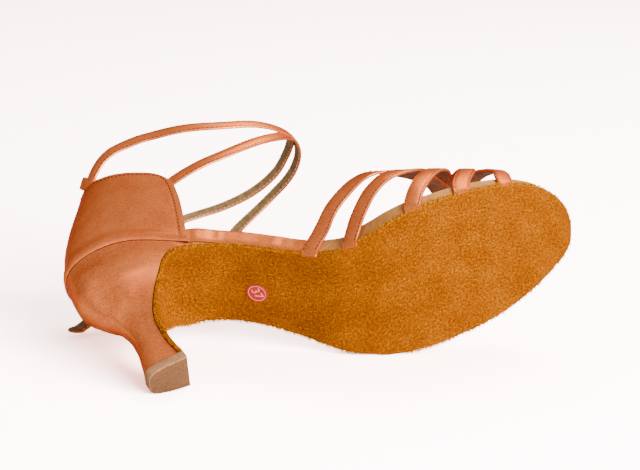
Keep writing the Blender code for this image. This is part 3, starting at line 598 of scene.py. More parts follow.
def loft(name, rings, materials, zone=None, closed=False, sharp=40.0, start=0):
    """Skin over rings; zone(i, j) picks the material after point j of ring i; UVs are in millimetres."""
    size = len(rings[0])
    count = len(rings)
    points = [p for ring in rings for p in ring]
    lengths = [0.0]
    for i in range(1, count + 1):
        steps = [(b - a).length for a, b in zip(rings[i - 1][::3], rings[i % count][::3])]
        lengths.append(lengths[-1] + sum(steps) / len(steps))
    rounds = []
    for ring in rings:
        line = [0.0]
        for j in range(size):
            line.append(line[-1] + (ring[(j + 1) % size] - ring[j]).length)
        rounds.append([v - line[start] for v in line])
    faces, zones, uv = [], [], []
    for i in range(count if closed else count - 1):
        n = (i + 1) % count
        for j in range(size):
            k = (j + 1) % size
            faces.append((i * size + j, i * size + k, n * size + k, n * size + j))
            zones.append(zone(i, j) if zone else 0)
            spots = ((i, i, j), (i, i, j + 1), (i + 1, n, j + 1), (i + 1, n, j))
            uv.append([(lengths[a] / MM, rounds[b][c] / MM) for a, b, c in spots])
    if not closed:
        first = range(size)
        for corners in (first, [(count - 1) * size + j for j in reversed(first)]):
            faces.append(tuple(corners))
            zones.append(0)
            uv.append([(points[c].x / MM, points[c].y / MM) for c in corners])
    return piece(name, points, faces, materials, zones, uv, sharp)


def dress(item, slot, *nodes):
    """The piece rides on the shoe and stands for CAD nodes, which it hides; slot is not used."""
    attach(item, "root")
    if nodes:
        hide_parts(*nodes)
    return item


def wobble(p, size, seed):
    """Smooth random value from -1 to 1 at a place, its bumps about size across."""
    return noise.noise(p / size + Vector((seed, seed * 1.7, -seed)))


# Suede sole: one sheet from the toe over the arch and down the front of the heel

sole_step = 0.0075


def sole_line(share, parts):
    """Line across the underside at a share of the length; parts run from -1 inner to 1 outer."""
    x = share * sole_length
    z = underside(x)
    return [Vector((x, part * half_width(x, part), z)) for part in parts]


def flap_line(s, parts):
    """Line across the flap at a share of its way down the heel."""
    rows = [(i / (len(flap_rows) - 1),) + row for i, row in enumerate(flap_rows)]
    middle = Vector((ease(rows, s, 1) * sole_length, 0.0, ease(rows, s, 2) * arch_rise))
    edge = Vector((ease(rows, s, 3) * sole_length, 0.0, ease(rows, s, 4) * arch_rise))
    half = ease(rows, s, 5) * ball_width
    blend = max(0.0, 1.0 - 4.0 * s)
    x = ease(rows, 0.0, 1) * sole_length
    line = []
    for part in parts:
        p = middle.lerp(edge, abs(part) ** 2.2)
        p.y = part * (half * (1.0 - blend) + half_width(x, part) * blend)
        line.append(p)
    return line


def sole_grid(parts):
    """Lines across the whole sheet, from the toe to the end of the flap."""
    shares = [1.0 - 0.014 * (1.0 - cos(0.5 * pi * k / 9)) - 0.0004 for k in range(10)]
    shares += [0.9856 - sole_step * k for k in range(1, 11)]
    x = 0.905
    while x > 0.236:
        shares.append(x)
        x -= sole_step
    grid = [sole_line(share, parts) for share in shares]
    steps = 60
    grid += [flap_line(i / steps, parts) for i in range(steps + 1)]
    return grid


def normals_of(grid):
    rows, columns = len(grid), len(grid[0])
    out = []
    for i in range(rows):
        line = []
        for j in range(columns):
            along = grid[min(i + 1, rows - 1)][j] - grid[max(i - 1, 0)][j]
            over = grid[i][min(j + 1, columns - 1)] - grid[i][max(j - 1, 0)]
            line.append(over.cross(along).normalized())
        out.append(line)
    return out


edge_steps = 5
edge_belly = 0.45 * MM
long_fray = 0.55 * MM
short_fray = 0.45 * MM
edge_grain = 0.12 * MM
face_grain = 0.12 * MM
face_sink = 0.05 * MM


def make_sole():
    """Sheet with a gently uneven face and a frayed round edge."""
    parts = [sin(0.5 * pi * k / 16) for k in range(-16, 17)]
    grid = sole_grid(parts)
    normals = normals_of(grid)
    rings = []
    for line, ups in zip(grid, normals):
        ring = []
        for j, (p, n) in enumerate(zip(line, ups)):
            inside = 1.0 - abs(parts[j]) ** 8
            ring.append(p - n * inside * (face_grain * wobble(p, 2.0 * MM, 3.0) + face_sink))
        half = outsole_thickness / 2.0
        arcs = []
        for p, n, mate in ((line[-1], ups[-1], line[-2]), (line[0], ups[0], line[1])):
            out = (p - mate).normalized()
            fray = long_fray * wobble(p, 3.4 * MM, 1.0) + short_fray * wobble(p, 1.2 * MM, 2.0)
            arc = []
            for k in range(1, edge_steps):
                a = pi * k / edge_steps
                rough = edge_grain * wobble(p + n * (k * MM), 0.8 * MM, 5.0)
                reach = (edge_belly + fray) * sin(a) + rough
                arc.append(p + n * half * (1.0 - cos(a)) + out * reach)
            arcs.append(arc)
        top = [q + m * outsole_thickness for q, m in zip(line, ups)]
        rings.append(ring + arcs[0] + top[::-1] + arcs[1][::-1])
    item = loft("suede_sole", rings, [suede], sharp=60.0)
    return dress(item, "suede", "outsole")


fibres_per_mm = 9.0
fibre_lengths = (0.8, 1.9)
fibre_widths = (0.16, 0.32)
floor_play = 0.1 * MM


def make_fringe():
    """Loose fibres that stand out all along the cut edge of the suede, none of them through the floor."""
    rng = random.Random(11)
    grid = sole_grid((-1.0, -0.96, 0.96, 1.0))
    ends = normals_of(grid)
    points, faces = [], []
    for side, mate in ((0, 1), (3, 2)):
        for i in range(len(grid) - 1):
            a, b = grid[i][side], grid[i + 1][side]
            n = ends[i][side]
            out = (a - grid[i][mate]).normalized()
            along = (b - a).normalized()
            for _ in range(max(1, int((b - a).length / MM * fibres_per_mm))):
                place = rng.random()
                root = a.lerp(b, place) + n * outsole_thickness * rng.uniform(0.0, 0.9) + out * 0.3 * MM
                length = MM * rng.uniform(*fibre_lengths) * (1.4 if rng.random() < 0.10 else 1.0)
                way = (out + along * rng.uniform(-0.9, 0.9) + n * rng.uniform(-0.9, 0.4)).normalized()
                if (rest @ (root + way * length)).z < floor_play:
                    continue
                thick = MM * rng.uniform(*fibre_widths)
                foot = way.cross(n).normalized() * thick
                k = len(points)
                points += [root + foot, root - foot, root + n * thick, root + way * length]
                faces += [(k, k + 1, k + 2), (k, k + 3, k + 1), (k + 1, k + 3, k + 2), (k + 2, k + 3, k)]
    uv = [[(points[c].x / MM, points[c].y / MM) for c in face] for face in faces]
    # The fibres take the paler suede: partly paler cut ends, partly painted light on the edge.
    return dress(piece("suede_edge_fibres", points, faces, [cut_fibres_and_painted_light], uv=uv), "suede")


# Insole with its rounded leather edge, which stands up round the foot: along, rise of the edge in mm
edge_rows = (
    (0.28, 0.0), (0.36, 4.2), (0.42, 5.6), (0.50, 5.4), (0.58, 3.6),
    (0.66, 2.4), (0.80, 2.2), (0.94, 1.4), (1.00, 1.0),
)
edge_round = 1.1 * MM
edge_lean = 0.55 / 3.0


def make_insole():
    back = -seat_back + counter_wall + gap
    stations = [back + (seat_front() - back) * ((i + 0.15) / 24) ** 1.8 for i in range(24)]
    x = seat_front()
    while x < 0.90 * sole_length:
        stations.append(x)
        x += 2.5 * MM
    stations += [(0.90 + 0.0945 * sin(0.5 * pi * k / 16)) * sole_length for k in range(1, 17)]
    rings = []
    for x in stations:
        base, n = insole_bottom(x)
        left, right = insole_half(x, -1), insole_half(x, 1)
        raised = ease(edge_rows, x / sole_length, 1) * MM
        if x > seat_front():
            left, right = (w + edge_lean * raised for w in (left, right))
        bend = min(edge_round, min(left, right) * 0.5)
        spots = [(y, 0.0) for y in (-left, -0.5 * left, 0.0, 0.5 * right, right)]
        turns = [0.1 * pi * k for k in range(6)]
        arc = [(bend * (1.0 - cos(a)), insole_thickness + raised - bend * (1.0 - sin(a)))
               for a in turns]
        spots += [(right - cut, high) for cut, high in arc]
        for part in [0.95 - 0.19 * k for k in range(11)]:
            high = insole_thickness - 0.2 * MM + (0.25 * MM + raised) * abs(part) ** 5
            spots.append((part * ((right if part > 0 else left) - bend), high))
        spots += [(cut - left, high) for cut, high in arc[::-1]]
        rings.append([Vector((base.x, y, base.z)) + n * high for y, high in spots])
    item = loft("leather_insole", rings, [board_leather], sharp=50.0)
    return dress(item, "insole_leather", "insole")


# Satin heel and its rubber tip

def make_heel():
    """Block under the seat: its shoulder follows the cup's lower edge, its front the sole's flap."""
    parts = [sin(0.5 * pi * k / 8) for k in range(-8, 9)]
    lift = outsole_thickness + gap
    steps = 66
    start = 7
    flap = [flap_line(i / steps, parts) for i in range(steps + 1)]
    ups = normals_of(flap)
    back_steps = 48
    front_edge = (flap[start][0] + ups[start][0] * lift).x
    shoulder = []
    for k in range(1, back_steps):
        turn = 1.0 - k / back_steps
        q = cup_point(seam_level(turn), turn)
        x = min(q.x, front_edge)
        shoulder.append(Vector((x, q.y, q.z - gap + seat_z(x) - seat_z(q.x))))
    rings = []
    for i in range(start, steps + 1):
        s = i / steps
        front = [p + n * lift for p, n in zip(flap[i], ups[i])]
        back_x = ease(heel_rows, s, 1) * tip_length
        back_z = ease(heel_rows, s, 2) * seat_height
        half = ease(heel_rows, s, 3) * seat_width
        power = ease(heel_rows, s, 4)
        a, b = front[-1], front[0]
        back = []
        middle = (a + b) / 2.0
        for k in range(1, back_steps):
            side, reach = squared(pi * k / back_steps, power)
            edge_half = abs(a.y if side > 0 else b.y)
            p = middle.lerp(Vector((back_x, 0.0, back_z)), reach)
            p.y = side * (edge_half + (half - edge_half) * min(1.0, 2.6 * reach))
            back.append(p)
        down = min(1.0, (i - start) / (heel_rows[0][0] * steps - start))
        rings.append(front + [q.lerp(p, down) for p, q in zip(back, shoulder)])
    top = [Vector((p.x, p.y, max(seat_z(p.x), p.z + 0.4 * MM))) for p in rings[0][:len(parts)]]
    top += [Vector((p.x, p.y - copysign(1.3 * MM, p.y), p.z + 0.3 * MM)) for p in shoulder]
    # The strip from the inset top to the first ring takes the dark joint colour: glue and painted shade in
    # the groove under the cup.
    item = loft("satin_heel", [top] + rings, [heel_satin, glue_and_painted_seam_shade], zone=lambda i, j: 0 if i else 1,
                sharp=50.0, start=len(parts) + back_steps // 2)
    return dress(item, "satin", "heel")


def make_tip():
    """D shaped rubber with a worn lower edge: level and how far the outline draws in, in mm."""
    steps = 40
    outline = []
    for k in range(steps + 1):
        side, reach = squared(pi * k / steps, 4.0)
        width = tip_front_width + (tip_back_width - tip_front_width) * reach
        outline.append(Vector((tip_length * (0.5 - reach), side * width / 2.0)))
    top = tip_thickness / MM
    rings = []
    for z, trim in ((0.0, 0.7), (0.08, 0.40), (0.30, 0.12), (0.65, 0.0), (top - 0.5, 0.0), (top, 0.3)):
        scale = 1.0 - trim * MM / (tip_front_width / 2.0)
        rings.append([Vector((p.x * scale, p.y * scale, z * MM)) for p in outline])
    # The face, its lowest band and the caps take the darker rubber (painted shade); the sides take the
    # lighter rubber (painted light).
    item = loft("heel_tip_piece", rings, [rubber_painted_shade_face, rubber_painted_lit_side], zone=lambda i, j: 1 if i else 0,
                sharp=30.0)
    return dress(item, "tip", "heel_tip")


# Heel cup: satin over a firm counter, lined, with a rolled lower edge over the heel

cup_corner = 7.5 * MM
seam_rise = 3.2 * MM

# Facing and roll of the cup, in mm
facing_side = 2.5
facing_top = 1.5
facing_lift = 0.16
seam_groove = 0.20
tuck = 1.8
tuck_depth = 2.4
roll_height = 1.35
roll_hollow = 0.35


def cup_arc(level, count=90):
    """Turns round the cup at a level and the distance from its front inner edge to each."""
    turns = [k / count for k in range(count + 1)]
    spots = [cup_point(level, t) for t in turns]
    steps = [(b - a).length for a, b in zip(spots, spots[1:])]
    return turns, [sum(steps[:k]) for k in range(count + 1)]


def turn_at(level, distance):
    turns, run = cup_arc(level)
    distance = min(max(distance, 0.0), run[-1])
    k = next(i for i in range(len(run) - 1) if distance <= run[i + 1] + 1e-9)
    return turns[k] + (turns[k + 1] - turns[k]) * (distance - run[k]) / (run[k + 1] - run[k])


def seam_level(turn):
    """The cup's lower edge rises a little along both sides of the heel."""
    reach = cup_curve(turn)[0]
    return seam_rise * sin(pi * min(reach, 1.0)) ** 1.3 / counter_height


def bell(value, centre, reach):
    """Soft bump of height 1 at the centre."""
    return exp(-((value - centre) / reach) ** 2)


def make_cup():
    """Rolled lower edge over the heel, rounded front corners, and a folded facing held by the stitching."""
    columns, rows, sectors = 200, 64, 90
    top_run = cup_arc(1.0, sectors)[1]
    grid, marks = [], []
    for i in range(columns + 1):
        t = i / columns
        turn = t - 0.085 * sin(2.0 * pi * t)
        k = min(int(turn * sectors), sectors - 1)
        run = top_run[k] + (top_run[k + 1] - top_run[k]) * (turn * sectors - k)
        near = min(run, top_run[-1] - run)
        drop = cup_corner - sqrt(max(0.0, cup_corner ** 2 - max(0.0, cup_corner - near) ** 2))
        low = seam_level(turn)
        levels = [low + (j / rows) ** 1.25 * (1.0 - drop / counter_height - low) for j in range(rows + 1)]
        grid.append([cup_point(level, turn) for level in levels])
        marks.append((near, turn, [level * counter_height for level in levels]))
    rings = []
    for i, (line, (front, turn, heights)) in enumerate(zip(grid, marks)):
        outer, inner = [], []
        fullness = (0.45 + 0.55 * ramp(front / (14.0 * MM))) * (1.0 - 0.4 * cup_curve(turn)[0] ** 2)
        for j, p in enumerate(line):
            up = line[min(j + 1, rows)] - line[max(j - 1, 0)]
            over = grid[min(i + 1, columns)][j] - grid[max(i - 1, 0)][j]
            n = up.cross(over).normalized()
            h = (heights[j] - heights[0]) / MM
            below = counter_height - heights[j]
            depth = min(front, below) / MM
            if max(front, below) < cup_corner:
                depth = (cup_corner - hypot(cup_corner - front, cup_corner - below)) / MM
            crest = max(h, tuck)
            roll = roll_height * bell(crest, 3.0, 3.0) - roll_hollow * bell(crest, 8.8, 2.2)
            if h < tuck:
                roll -= tuck_depth * (1.0 - sqrt(max(0.0, 1.0 - (1.0 - h / tuck) ** 2)))
            inwards = depth - (facing_side if front < below else facing_top)
            seam = facing_lift * (1.0 - ramp((inwards + 0.3) / 0.6))
            seam -= seam_groove * bell(inwards, 0.0, 0.35)
            drape = 0.14 * wobble(p, 11.0 * MM, 4.0) + 0.04 * wobble(p, 4.0 * MM, 6.0)
            outer.append(p + n * ((roll * fullness + seam * ramp(h / 1.6) + drape) * MM))
            inner.append(p - n * counter_wall)
        middle = (outer[-1] + inner[-1]) / 2.0
        rise = (outer[-1] - outer[-2]).normalized()
        reach = (outer[-1] - inner[-1]) / 2.0
        turns = [pi * k / 6 for k in range(1, 6)]
        lip = [middle + reach * cos(a) + rise * reach.length * 0.7 * sin(a) for a in turns]
        rings.append(outer + lip + inner[::-1])
    size = len(rings[0])

    def lined(i, j):
        # The lowest strip of the roll and the closing strip under it take the dark joint colour: glue and
        # painted shade in the seam groove; the inside takes the lining.
        if j == size - 1 or j == 0:
            return 2
        return 1 if j > rows + 5 else 0

    item = loft("satin_heel_cup", rings, [satin, vamp_lining, glue_and_painted_seam_shade], zone=lined, sharp=50.0)
    return dress(item, "satin", "counter")


# Waist rims: satin folded over the insole's edge, a little puckered

rim_overlap = 6.0 * MM
rim_stop = 0.392
rim_back_height = 9.8 * MM
rim_front_height = 8.2 * MM


def make_rim(name, side, node):
    """Satin drawn over the edge of the insole: its foot lies on the sole's edge, its top folds inwards."""
    start = seat_front() - rim_overlap
    stop = rim_stop * sole_length
    rings = []
    steps = 72
    for i in range(steps + 1):
        t = i / steps
        x = start + (stop - start) * t
        base, n = insole_bottom(x)
        inner = insole_half(x, side) + gap
        outer = inner + rim_thickness
        foot = max(outer, half_width(x, side) + 0.1 * MM)
        high = rim_back_height + (rim_front_height - rim_back_height) * t
        pull = 0.45 * MM * wobble(Vector((x, side * 0.01, 0.0)), 3.4 * MM, 8.0)
        fold = 0.35 * MM * wobble(Vector((x * 1.6, 0.03, side)), 5.0 * MM, 9.0)
        spots = (
            (inner, 0.3), (inner + 0.4 * MM, 0.0), (foot - 0.2 * MM, -0.3 * MM / high),
            (foot + 0.25 * MM, 0.06), (foot + 0.2 * MM + pull * 0.5, 0.25),
            ((foot + outer) * 0.5 + pull, 0.5), (outer + 0.15 * MM + pull, 0.75),
            (outer + pull * 0.6, 0.92), (inner + rim_thickness * 0.6, 1.0), (inner + 0.2 * MM, 0.97),
            (inner, 0.85), (inner, 0.6),
        )
        rings.append([Vector((base.x, side * y, base.z)) + n * (up * high + (fold if up > 0.4 else 0.0))
                      for y, up in spots])
    return dress(loft(name, rings, [satin], sharp=60.0), "satin", node)


# Straps: folded satin bands with a glued lining and a line of stitching along each edge

vamp_inset = 0.9 * MM
ankle_inset = 0.8 * MM
band_crown = 0.10 * MM
stitch_length = 1.1 * MM
stitch_thickness = 0.27 * MM
stitch_sink = 0.04 * MM
seam_pitch = 2.0 * MM
ankle_pitch = 2.1 * MM


def band_ring(p, side, n, width, thickness, groove):
    """Cross-section of a folded band, its lining on p, lining points first; a groove under each seam."""
    half = width / 2.0
    r = thickness * 0.42
    spots = [(part * (half - r), 0.0) for part in (-1.0, -0.55, 0.0, 0.55, 1.0)]
    turns = [0.25 * pi * k for k in (1, 2, 3)]
    edge = [(half - r + r * sin(a), thickness / 2.0 * (1.0 - cos(a))) for a in turns]
    top = [(half - r, 0.0), (half - groove * 0.75, 0.0), (half - groove, 1.0),
           (half - groove * 1.3, 0.0), (half * 0.35, -1.2)]
    spots += edge
    spots += [(s, thickness - dip * band_crown) for s, dip in top + [(0.0, -1.5)]]
    spots += [(-s, thickness - dip * band_crown) for s, dip in top[::-1]]
    spots += [(-s, high) for s, high in edge[::-1]]
    return [p + side * s + n * high for s, high in spots]


def band_frames(points, normals, turns=None):
    """Place, run, side and outward direction along a band, turned about its length."""
    out = []
    last = len(points) - 1
    for i, p in enumerate(points):
        along = (points[min(i + 1, last)] - points[max(i - 1, 0)]).normalized()
        n = (normals[i] - along * normals[i].dot(along)).normalized()
        side = along.cross(n)
        turn = radians(turns[i]) if turns else 0.0
        c, s = cos(turn), sin(turn)
        out.append((p, along, side * c + n * s, n * c - side * s))
    return out


def lining_zone(i, j):
    return 1 if j < 4 else 0


def stitch_row(frames, offset, height, pitch, points, faces):
    """Add spindle-shaped stitches every pitch along a band, offset sideways and raised from its lining."""
    travelled = 0.0
    due = pitch
    for (p, along, side, n), after in zip(frames, frames[1:]):
        q = after[0]
        step = (q - p).length
        while due < travelled + step:
            t = (due - travelled) / step
            middle = p.lerp(q, t) + side * offset + n * height
            k = len(points)
            for end, share in ((-0.5, 0.45), (0.0, 1.0), (0.5, 0.45)):
                size = stitch_thickness * share
                for a in range(6):
                    turn = pi * a / 3
                    points.append(middle + along * end * stitch_length + side * size * cos(turn)
                                  + n * size * 0.8 * sin(turn))
            for ring in (k, k + 6):
                for a in range(6):
                    b = (a + 1) % 6
                    faces.append((ring + a, ring + b, ring + 6 + b, ring + 6 + a))
            faces.append(tuple(k + a for a in reversed(range(6))))
            faces.append(tuple(k + 12 + a for a in range(6)))
            due += pitch
        travelled += step


def vamp_frames(step, rows):
    """Centre line of a vamp strap; both ends run on down the insole's edge on to the sole."""
    points, normals, turns = [], [], []
    count = 96
    for i in range(count + 1):
        share, angle, turn = smooth(rows, i / count)
        x = share * sole_length
        angle = min(max(angle, 0.0), 180.0)
        lift = step * strap_step * ramp((angle - 35.0) / 40.0) * ramp((180.0 - angle) / 40.0)
        points.append(vamp_point(x, angle, lift))
        normals.append(vamp_normal(x, min(max(angle, 2.0), 178.0)))
        turns.append(turn)
    feet = []
    for end, side in ((points[0], 1.0), (points[-1], -1.0)):
        run = Vector((0.0, side * 0.25 * MM, 0.0)) - insole_bottom(end.x)[1] * 0.5 * MM
        feet.append([end + run * k for k in (1, 2, 3)])
    points = feet[0][::-1] + points + feet[1]
    normals = [normals[0]] * 3 + normals + [normals[-1]] * 3
    turns = [turns[0]] * 3 + turns + [turns[-1]] * 3
    return band_frames(points, normals, turns)


def make_vamp():
    points, faces = [], []
    for name, step, rows in vamp_straps:
        frames = vamp_frames(step, rows)
        rings = [band_ring(p, side, n, strap_width, strap_thickness, vamp_inset)
                 for p, _run, side, n in frames]
        band = loft(name, rings, [satin, vamp_lining], zone=lining_zone, sharp=50.0)
        dress(band, "satin", "vamp_straps")
        for edge in (-1, 1):
            stitch_row(frames[3:-3], edge * (strap_width / 2.0 - vamp_inset), strap_thickness - stitch_sink,
                       seam_pitch, points, faces)
    dress(piece("vamp_stitches", points, faces, [thread_tan]), "satin")


def ankle_frames(rows, lift, count):
    spots = [smooth(rows, i / count) for i in range(count + 1)]
    points = [ankle_point(*spot, lift) for spot in spots]
    return band_frames(points, [ankle_normal(spot[0]) for spot in spots])


# Pointed free end of the buckled strap: how far it runs on in mm, share of its section
point_rows = ((1.2, 0.98), (2.6, 0.90), (4.0, 0.74), (5.0, 0.5), (5.6, 0.22))


def make_ankle():
    """Two crossing straps, stitched on both faces; the free end runs on along the floor to a point."""
    outer_points, outer_faces, inner_points, inner_faces = [], [], [], []
    for name, rows, lift, free in (("sling_strap", sling_rows, sling_lift, False),
                                   ("buckled_strap", buckled_rows, 0.0, True)):
        frames = ankle_frames(rows, lift, 170)
        rings = [band_ring(p, side, n, ankle_strap_width, ankle_strap_thickness, ankle_inset)
                 for p, _run, side, n in frames]
        if free:
            last = rings[-1]
            middle = sum(last, Vector()) / len(last)
            run = (middle - sum(rings[-2], Vector()) / len(last)).normalized()
            floor_up = rest.to_3x3().inverted() @ Vector((0.0, 0.0, 1.0))
            run = (run - floor_up * (run.dot(floor_up) - 0.05)).normalized()
            for reach, size in point_rows:
                rings.append([middle + (p - middle) * size + run * reach * MM for p in last])
        band = loft(name, rings, [satin, strap_lining], zone=lining_zone, sharp=50.0)
        dress(band, "satin", "ankle_straps")
        top = ankle_strap_thickness - stitch_sink
        for edge in (-1, 1):
            offset = edge * (ankle_strap_width / 2.0 - ankle_inset)
            stitch_row(frames, offset, top, ankle_pitch, outer_points, outer_faces)
            stitch_row(frames, offset, -0.5 * stitch_sink, ankle_pitch, inner_points, inner_faces)
    dress(piece("ankle_stitches_outside", outer_points, outer_faces, [thread_tan]), "satin")
    dress(piece("ankle_stitches_lining", inner_points, inner_faces, [thread_pale]), "satin")


def strap_frame(rows, lift, t):
    """Place, run, outward and sideways directions at a share of an ankle strap's length."""
    before, here, after = (smooth(rows, t + step) for step in (-0.01, 0.0, 0.01))
    along = (ankle_point(*after, lift) - ankle_point(*before, lift)).normalized()
    n = ankle_normal(here[0])
    n = (n - along * n.dot(along)).normalized()
    return ankle_point(*here, lift), along, n, along.cross(n)


def rounded_frame(centre, axis, sides, opening, section, corner):
    """Closed ring round an opening: a section of wall by depth with rounded edges, and round corners."""
    wall, depth = section
    half_a, half_b = ((inside + wall) / 2.0 for inside in opening)
    r = min(corner, half_a * 0.8, half_b * 0.8)
    rings = []
    for way_a, way_b, start in ((1, 1, 0.0), (-1, 1, 90.0), (-1, -1, 180.0), (1, -1, 270.0)):
        for k in range(6):
            a = radians(start + 18.0 * k)
            away = sides[0] * cos(a) + sides[1] * sin(a)
            spot = centre + sides[0] * way_a * (half_a - r) + sides[1] * way_b * (half_b - r) + away * r
            ring = []
            for step in range(12):
                u, v = squared(pi * step / 6, 4.0)
                ring.append(spot + away * (u * wall / 2.0) + axis * (v * depth / 2.0))
            rings.append(ring)
    return rings


# Share of the strap that the cup's loop sits further back; the prong's root and taper as shares of the wire
loop_back = 0.02
prong_root = 0.42
prong_taper = 0.18


def make_fastening():
    """Buckle with its prong, the keeper, the loop at the back of the cup and the tab under the buckle."""
    place, along, n, side = strap_frame(buckled_rows, 0.0, buckle_at)
    out = ankle_strap_thickness + gap
    rings = rounded_frame(place + n * (out + buckle_wire / 2.0), n, (along, side),
                          (buckle_length - 2.0 * buckle_wire, ankle_strap_width + 2.0 * gap),
                          (buckle_wire, buckle_wire), 2.2 * MM)
    dress(loft("buckle_frame", rings, [nickel], closed=True), "metal", "buckle")
    middle = place + n * (out + buckle_wire + gap + buckle_wire / 3.0)
    rings = []
    for k in range(9):
        t = k / 8.0 - 0.5
        size = buckle_wire * (prong_root - prong_taper * max(0.0, t * 2.0))
        turns = [pi * a / 6 for a in range(12)]
        rings.append([middle + along * t * buckle_length + side * size * cos(turn)
                      + n * size * 0.8 * sin(turn) for turn in turns])
    dress(loft("prong", rings, [nickel]), "metal", "buckle_prong")
    for name, node, rows, lift, at, play, section, corner in (
            ("strap_keeper", "keeper", buckled_rows, 0.0, keeper_at, (gap, gap),
             (loop_wall, keeper_length), 0.7 * MM),
            ("cup_loop", "back_loop", sling_rows, sling_lift, loop_at - loop_back,
             (loop_play, 2.0 * loop_play), (loop_wall * 1.3, loop_length * 1.25), 1.5 * MM)):
        place, along, n, side = strap_frame(rows, lift, at)
        opening = (ankle_strap_thickness + 2.0 * play[0], ankle_strap_width + 2.0 * play[1])
        rings = rounded_frame(place + n * (ankle_strap_thickness / 2.0), along, (n, side),
                              opening, section, corner)
        dress(loft(name, rings, [satin], closed=True), "satin", node)
    points = []
    for i in range(31):
        along, out, high = smooth(tab_rows, i / 30.0)
        points.append(Vector((along * ankle_centre, out * ankle_width, high * ankle_height)))
    frames = band_frames(points, [Vector((0.0, 1.0, 0.0))] * len(points))
    rings = [band_ring(p, side, n, ankle_strap_width, ankle_strap_thickness, ankle_inset)
             for p, _run, side, n in frames]
    dress(loft("cup_tab", rings, [satin, strap_lining], zone=lining_zone), "satin", "buckle_tab")


# Stitching round the heel cup and the size sticker under the arch

def make_cup_stitches():
    """Top stitching: up each front edge, round the corner and along the top."""
    straight = counter_height - cup_corner
    edge = [(straight * k / 36.0 / counter_height, facing_side * MM) for k in range(3, 36)]
    for k in range(13):
        a = 0.5 * pi * k / 12
        r = cup_corner - (facing_side + (facing_top - facing_side) * k / 12.0) * MM
        edge.append(((straight + r * sin(a)) / counter_height, cup_corner - r * cos(a)))
    steps = 70
    level = 1.0 - facing_top * MM / counter_height
    across = cup_arc(1.0)[1][-1] - 2.0 * cup_corner
    top = [(level, cup_corner + across * k / steps) for k in range(1, steps)]
    places = [(level, turn_at(level, over)) for level, over in edge + top]
    places += [(level, turn_at(level, cup_arc(level)[1][-1] - over)) for level, over in edge[::-1]]
    points, faces = [], []
    frames = band_frames([cup_point(*spot) for spot in places], [cup_normal(*spot) for spot in places])
    stitch_row(frames, 0.0, 0.10 * MM, seam_pitch, points, faces)
    dress(piece("cup_stitches", points, faces, [thread_tan]), "satin")


sticker_x = 59.3 * MM
sticker_y = 5.8 * MM
sticker_radius = 4.8 * MM
ring_inner = 3.75 * MM
ring_outer = 4.05 * MM
ring_low = 0.30 * MM
ring_high = 0.40 * MM
number_slant = radians(26.0)

# The printed number, in mm
number_height = 5.6
number_depth = 0.05
number_lift = 0.38


def on_sole(a, b, out):
    """Place on the underside: a towards the toe, b towards the outer side, out away from the sole."""
    x = sticker_x + arch_normal(sticker_x)[1] * a
    nx, nz = arch_normal(x)
    return Vector((x - nx * out, sticker_y + b, underside(x) - nz * out))


def make_sticker():
    """Round film that follows the arch, with a printed ring and the plain size number."""
    points, faces = [], []
    rims = (0.3, 0.6, 0.85, 1.0)
    count = 64
    turns = [2.0 * pi * k / count for k in range(count)]
    for level in (0.12 * MM, 0.34 * MM):
        for r in [rim * sticker_radius for rim in rims]:
            points += [on_sole(r * cos(a), r * sin(a), level) for a in turns]
        points.append(on_sole(0.0, 0.0, level))
    size = count * len(rims) + 1
    rim = size - 1 - count
    for k in range(count):
        n = (k + 1) % count
        for base in (0, size):
            faces.append((base + size - 1, base + k, base + n))
            for a in range(base, base + rim, count):
                faces.append((a + k, a + count + k, a + count + n, a + n))
        faces.append((rim + k, rim + n, size + rim + n, size + rim + k))
    dress(piece("size_sticker", points, faces, [film_red], sharp=30.0), "suede")
    section = ((ring_inner, ring_low), (ring_outer, ring_low),
               (ring_outer, ring_high), (ring_inner, ring_high))
    rings = [[on_sole(r * cos(a), r * sin(a), h) for r, h in section] for a in turns]
    dress(loft("sticker_ring", rings, [film_pale], closed=True), "suede")
    words = bpy.data.curves.new("size_number", "FONT")
    words.body = "37"
    words.align_x = "CENTER"
    words.align_y = "CENTER"
    words.size = number_height
    words.extrude = number_depth
    words.offset = 0.01
    words.resolution_u = 5
    holder = stand("size_number", words)
    bpy.context.view_layer.update()
    flat = bpy.data.meshes.new_from_object(holder.evaluated_get(bpy.context.evaluated_depsgraph_get()))
    bpy.data.objects.remove(holder, do_unlink=True)
    c, s = cos(number_slant) * MM, sin(number_slant) * MM
    corners = [v.co for v in flat.vertices]
    points = [on_sole(p.x * s + p.y * c, p.x * c - p.y * s, (number_lift + p.z) * MM) for p in corners]
    faces = [tuple(f.vertices) for f in flat.polygons]
    dress(piece("sticker_number", points, faces, [film_pale], sharp=30.0), "suede")


make_sole()
make_fringe()
make_insole()
make_heel()
make_tip()
make_cup()
make_rim("inner_waist_rim", -1.0, "waist_rim_inner")
make_rim("outer_waist_rim", 1.0, "waist_rim_outer")
make_vamp()
make_ankle()
make_fastening()
make_cup_stitches()
make_sticker()


# Floor, light and camera

sweep_exposure = 6.9


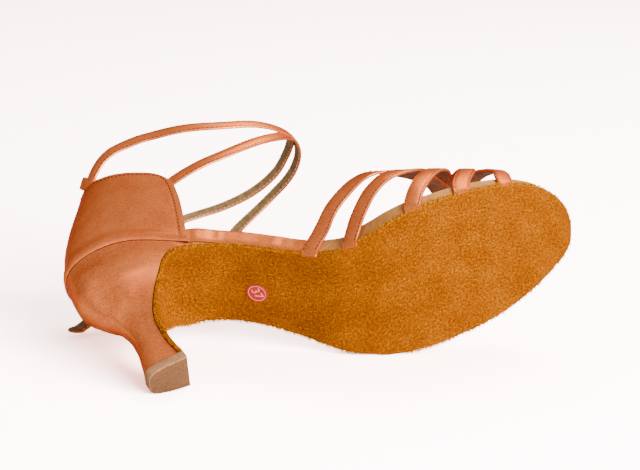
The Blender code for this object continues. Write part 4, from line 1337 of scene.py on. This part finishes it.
def paper_sweep():
    """White card, exposed like an overlit studio sweep: it looks brighter than the light it gives back."""
    mesh = bpy.data.meshes.new("floor")
    corners = [(x * 6.0, y * 6.0, 0.0) for x, y in ((-1, -1), (1, -1), (1, 1), (-1, 1))]
    mesh.from_pydata(corners, [], [(0, 1, 2, 3)])
    m = bpy.data.materials.new("white_card")
    m.use_nodes = True
    tree = m.node_tree
    tree.nodes.remove(tree.nodes["Principled BSDF"])
    ray = put(tree, "ShaderNodeLightPath")
    level = put(tree, "ShaderNodeMix", [("Factor", ray, "Is Camera Ray")], [("data_type", "RGBA")])
    # Sockets 6 and 7 are the node's two colours, and its output 2 is the colour it gives
    level.inputs[6].default_value = linear("cecbcb")
    level.inputs[7].default_value = [c * sweep_exposure for c in linear("ffe8e4")[:3]] + [1.0]
    card = put(tree, "ShaderNodeBsdfDiffuse", [("Color", level, 2)])
    feed(tree, tree.nodes["Material Output"], Surface=(card, "BSDF"))
    mesh.materials.append(m)
    stand("floor", mesh)


def softbox(name, place, target, width, height, power):
    """White rectangular light, its power in watts, turned to its target."""
    light = bpy.data.lights.new(name, "AREA")
    light.shape = "RECTANGLE"
    light.size = width
    light.size_y = height
    light.energy = power
    item = stand(name, light)
    item.location = place
    item.rotation_euler = (Vector(target) - Vector(place)).to_track_quat("-Z", "Y").to_euler()


paper_sweep()
softbox("top_light", (0.40, 0.70, 1.15), (0.0, 0.0, 0.03), 0.9, 0.7, 10.0)
softbox("left_light", (-1.3, -0.6, 0.7), (-0.05, 0.0, 0.05), 0.9, 0.8, 1.5)
softbox("right_light", (1.45, -0.95, 0.75), (-0.03, 0.0, 0.03), 0.7, 0.8, 26.0)
softbox("front_light", (1.00, -1.50, 0.65), (0.0, 0.0, 0.03), 1.2, 0.8, 98.0)

world = bpy.data.worlds.new("studio")
bpy.context.scene.world = world
world.use_nodes = True
sky = world.node_tree.nodes["Background"]
sky.inputs["Color"].default_value = linear("ffffff")
sky.inputs["Strength"].default_value = 0.42

# The photograph's camera on the standing shoe, laid down with it
lens = bpy.data.cameras.new("camera")
lens.lens = 136.28
lens.sensor_width = 36.0
lens.clip_start = 0.05
camera = stand("camera", lens)
right = Vector((0.8885, 0.0593, -0.4551)).normalized()
ahead = Vector((0.3331, 0.5988, 0.7284)).normalized()
above = right.cross(ahead).normalized()
spin = rest.to_3x3() @ Matrix((right, above, -ahead)).transposed()
camera.matrix_world = Matrix.Translation(rest @ Vector((-0.2604, -0.6456, -0.7297))) @ spin.to_4x4()
bpy.context.scene.camera = camera
